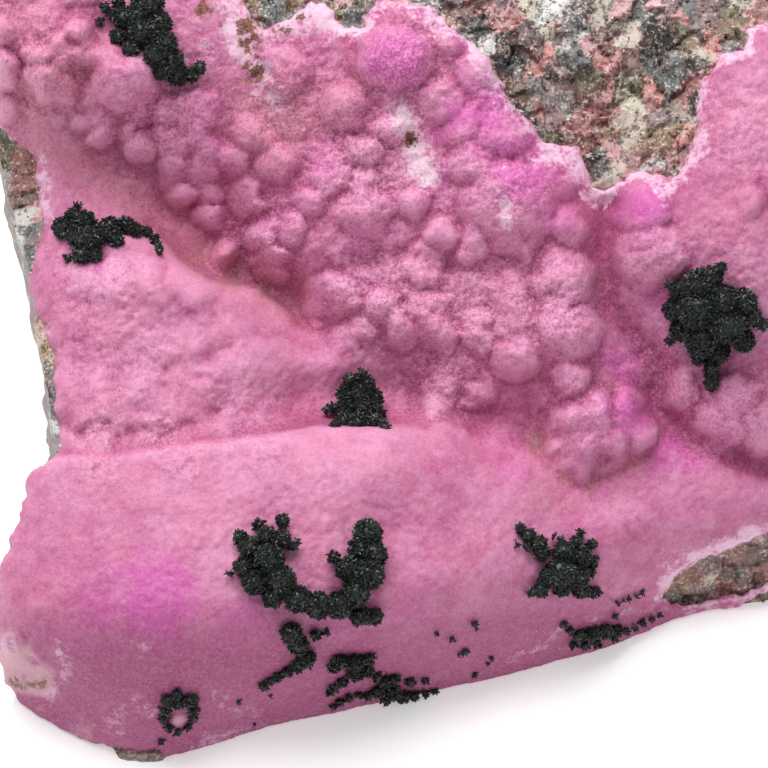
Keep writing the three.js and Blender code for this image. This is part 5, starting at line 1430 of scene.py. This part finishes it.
# %% Recipe that plants crystals on a surface
def planting(name, corners, top_share, material, keep_surface, density_map=""):
    """A Geometry Nodes tree that plants pointed or blunt crystals on a surface."""
    tree = bpy.data.node_groups.new(name, "GeometryNodeTree")
    tree.interface.new_socket("Surface", in_out="INPUT", socket_type="NodeSocketGeometry")
    for label in ("Per square mm", "Width", "Thickness", "Length", "Size spread", "Lean"):
        tree.interface.new_socket(label, in_out="INPUT", socket_type="NodeSocketFloat")
    tree.interface.new_socket("Seed", in_out="INPUT", socket_type="NodeSocketInt")
    tree.interface.new_socket("Crystals", in_out="OUTPUT", socket_type="NodeSocketGeometry")
    board = Board(tree)
    source = tree.nodes.new("NodeGroupInput")
    given = {socket.name: Wire(board, socket) for socket in source.outputs if socket.name}
    density = given["Per square mm"] * (1 / MM ** 2)
    if density_map:
        named = {"Name": density_map}
        density = density * board.node("GeometryNodeInputNamedAttribute", named, data_type="FLOAT")
    sockets = {"Mesh": given["Surface"], "Density": density, "Seed": given["Seed"]}
    scatter = board.node("GeometryNodeDistributePointsOnFaces", sockets)
    upright = Wire(board, scatter.output.node.outputs["Rotation"])
    swing = board.vector("ADD", board.vector("SCALE", (1, 1, 0), given["Lean"]), (0, 0, math.pi))
    sockets = {0: board.vector("SCALE", swing, -1.0), 1: swing, "Seed": given["Seed"]}
    swing = board.node("FunctionNodeRandomValue", sockets, data_type="FLOAT_VECTOR")
    swing = board.node("FunctionNodeEulerToRotation", {0: swing})
    turned = board.node("FunctionNodeRotateRotation", {0: upright, 1: swing}, rotation_space="LOCAL")
    sockets = {"Vertices": corners, "Side Segments": 1, "Radius Top": 0.5 * top_share, "Radius Bottom": 0.5,
               "Depth": 1.0}
    crystal = board.node("GeometryNodeMeshCone", sockets)
    sockets = {2: 1 - given["Size spread"], 3: given["Size spread"] + 1, "Seed": given["Seed"] + 7}
    size = board.node("FunctionNodeRandomValue", sockets, output=1, data_type="FLOAT")
    sides = {k: given[label] * MM for k, label in enumerate(("Width", "Thickness", "Length"))}
    shape = board.vector("SCALE", board.node("ShaderNodeCombineXYZ", sides), size)
    sockets = {"Points": scatter, "Instance": crystal, "Rotation": turned, "Scale": shape}
    planted = board.node("GeometryNodeInstanceOnPoints", sockets)
    if keep_surface:
        both = tree.nodes.new("GeometryNodeJoinGeometry")
        tree.links.new(planted.output, both.inputs[0])
        tree.links.new(given["Surface"].output, both.inputs[0])
        planted = Wire(board, both.outputs[0])
    real = board.node("GeometryNodeRealizeInstances", {0: planted})
    done = board.node("GeometryNodeSetMaterial", {"Geometry": real, "Material": material})
    board.feed(tree.nodes.new("NodeGroupOutput").inputs[0], done)
    return tree


def plant(piece, tree, **inputs):
    """Runs a recipe on a piece and keeps the result as a plain mesh."""
    modifier = piece.modifiers.new("plant", "NODES")
    modifier.node_group = tree
    for item in tree.interface.items_tree:
        key = item.name.lower().replace(" ", "_")
        if item.in_out == "INPUT" and key in inputs:
            modifier[item.identifier] = inputs[key]
    settle(piece)


# %% Finish of the malachite
dark, board, shader = new_finish("dark_malachite", Roughness=0.3)
place = board.node("ShaderNodeTexCoord", output=3)
green = board.mix(board.noise(1.6, 3, place).ramp(0.45, 0.7) * 0.7, colour(24, 29, 27), colour(46, 56, 46))
green = board.mix(board.noise(0.3, 2, place).ramp(0.6, 0.72) * 0.5, green, colour(84, 92, 84))
board.feed(shader.inputs["Base Color"], green)
board.feed(shader.inputs["Roughness"], 0.2 + board.noise(0.5, 2, place) * 0.35)
print("malachite finish:", len(board.tree.nodes), "nodes")

# %% Plant the blades
blades = planting("malachite_blades", 4, 0.7, dark, keep_surface=True)
for seed, (name, core) in enumerate(cores.items()):
    plant(core, blades, per_square_mm=26.0, width=0.21, thickness=0.14, length=0.3, size_spread=0.5, lean=1.2,
          seed=seed)
plant(specks, blades, per_square_mm=24.0, width=0.16, thickness=0.11, length=0.26, size_spread=0.5, lean=1.1,
      seed=30)
print("tuft triangles:", {name: triangles(core) for name, core in cores.items()}, triangles(specks))

# %% [markdown]
# ## Glints and grit
#
# Here and there a clear three-sided calcite point stands out of the felt and glints. The bare rock carries
# loose angular grains. The same recipe plants both.

# %% Plant glints and grit
def copy_of(piece, name):
    """A copy of a piece, to be turned into what is planted on it."""
    twin = bpy.data.objects.new(name, piece.data.copy())
    bpy.context.scene.collection.objects.link(twin)
    return twin


glassy, board, shader = new_finish("clear_calcite", Roughness=0.12)
place = board.node("ShaderNodeTexCoord", output=3)
clear = board.mix(board.noise(2, 2, place), colour(244, 206, 224), colour(255, 250, 252))
board.feed(shader.inputs["Base Color"], clear)
glints, points = copy_of(crust, "calcite_glints"), planting("calcite_glints", 3, 0.0, glassy, keep_surface=False)
plant(glints, points, per_square_mm=0.14, width=0.08, thickness=0.08, length=0.12, size_spread=0.4, lean=0.6,
      seed=22)
grit = copy_of(rock, "rock_grit")
lumps = planting("rock_grit", 5, 0.6, stone, keep_surface=False, density_map="gritty")
plant(grit, lumps, per_square_mm=0.3, width=0.6, thickness=0.4, length=0.3, size_spread=0.6, lean=0.6, seed=23)
print("glints and grit, triangles:", triangles(glints), triangles(grit))

# %% [markdown]
# ## What rides where
#
# The specimen has no moving part, so every piece rides on the one body. The rock, the crust and each tuft stand
# for the measured node that they refine, which is hidden.

# %% Hand the pieces to the frame
for piece, slot in ((glints, "calcite"), (grit, "matrix"), (specks, "malachite")):
    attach(piece, "root")
for piece, node, slot in [(rock, "matrix_rock", "matrix"), (crust, "calcite_crust", "calcite"),
                          *((core, name, "malachite") for name, core in cores.items())]:
    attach(piece, "root")
    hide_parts(node)
print("pieces:", 5 + len(cores))

# %% [markdown]
# ## Floor, light and camera
#
# The photograph is a soft product shot on white: one large light overhead and a little behind, and white all
# round. The camera looks straight at the growth face through a long lens.

# %% Floor
FLOOR_REACH = 1500
corners = [(x * FLOOR_REACH, y * FLOOR_REACH, 0) for x, y in ((-1, -1), (1, -1), (1, 1), (-1, 1))]
floor = new_piece("floor", corners, [[0, 1, 2, 3]])
paper, board, shader = new_finish("white_paper", Roughness=0.9, Emission_Strength=0.3)
for socket, shade in (("Base Color", 0.93), ("Emission Color", 1.0)):
    shader.inputs[socket].default_value = (shade, shade, shade, 1)
wear(floor, paper)
print("floor at the table's height")


# %% Light
def aim(thing, place, target):
    """Puts a light or camera at a place, facing a target, both in mm."""
    thing.location = Vector(place) * MM
    thing.rotation_euler = (Vector(place) - Vector(target)).to_track_quat("Z", "Y").to_euler()
    bpy.context.scene.collection.objects.link(thing)


def soft_light(name, place, size, power):
    """A square area light aimed at the specimen."""
    lamp = bpy.data.lights.new(name, "AREA")
    lamp.size, lamp.energy = size * MM, power
    aim(bpy.data.objects.new(name, lamp), place, (0, 0, 15))


soft_light("overhead", (-90, 170, 470), 380, 2.9)
world = bpy.data.worlds.new("white_room")
bpy.context.scene.world = world
world.use_nodes = True
for socket, value in (("Color", (1, 1, 1, 1)), ("Strength", 0.52)):
    world.node_tree.nodes["Background"].inputs[socket].default_value = value
bpy.context.scene.view_settings.view_transform = "Standard"
print("light: one large lamp in a white room")

# %% Camera
CAMERA_DISTANCE = 600
VIEW_WIDTH = 76.8
lens = bpy.data.cameras.new("camera")
lens.sensor_width = 36
lens.lens = lens.sensor_width * CAMERA_DISTANCE / VIEW_WIDTH
lens.clip_end = 10
camera = bpy.data.objects.new("camera", lens)
aim(camera, tuple(FACE_CENTRE + CAMERA_DISTANCE * OUT), tuple(FACE_CENTRE))
bpy.context.scene.camera = camera
print("lens, mm:", round(lens.lens, 1))
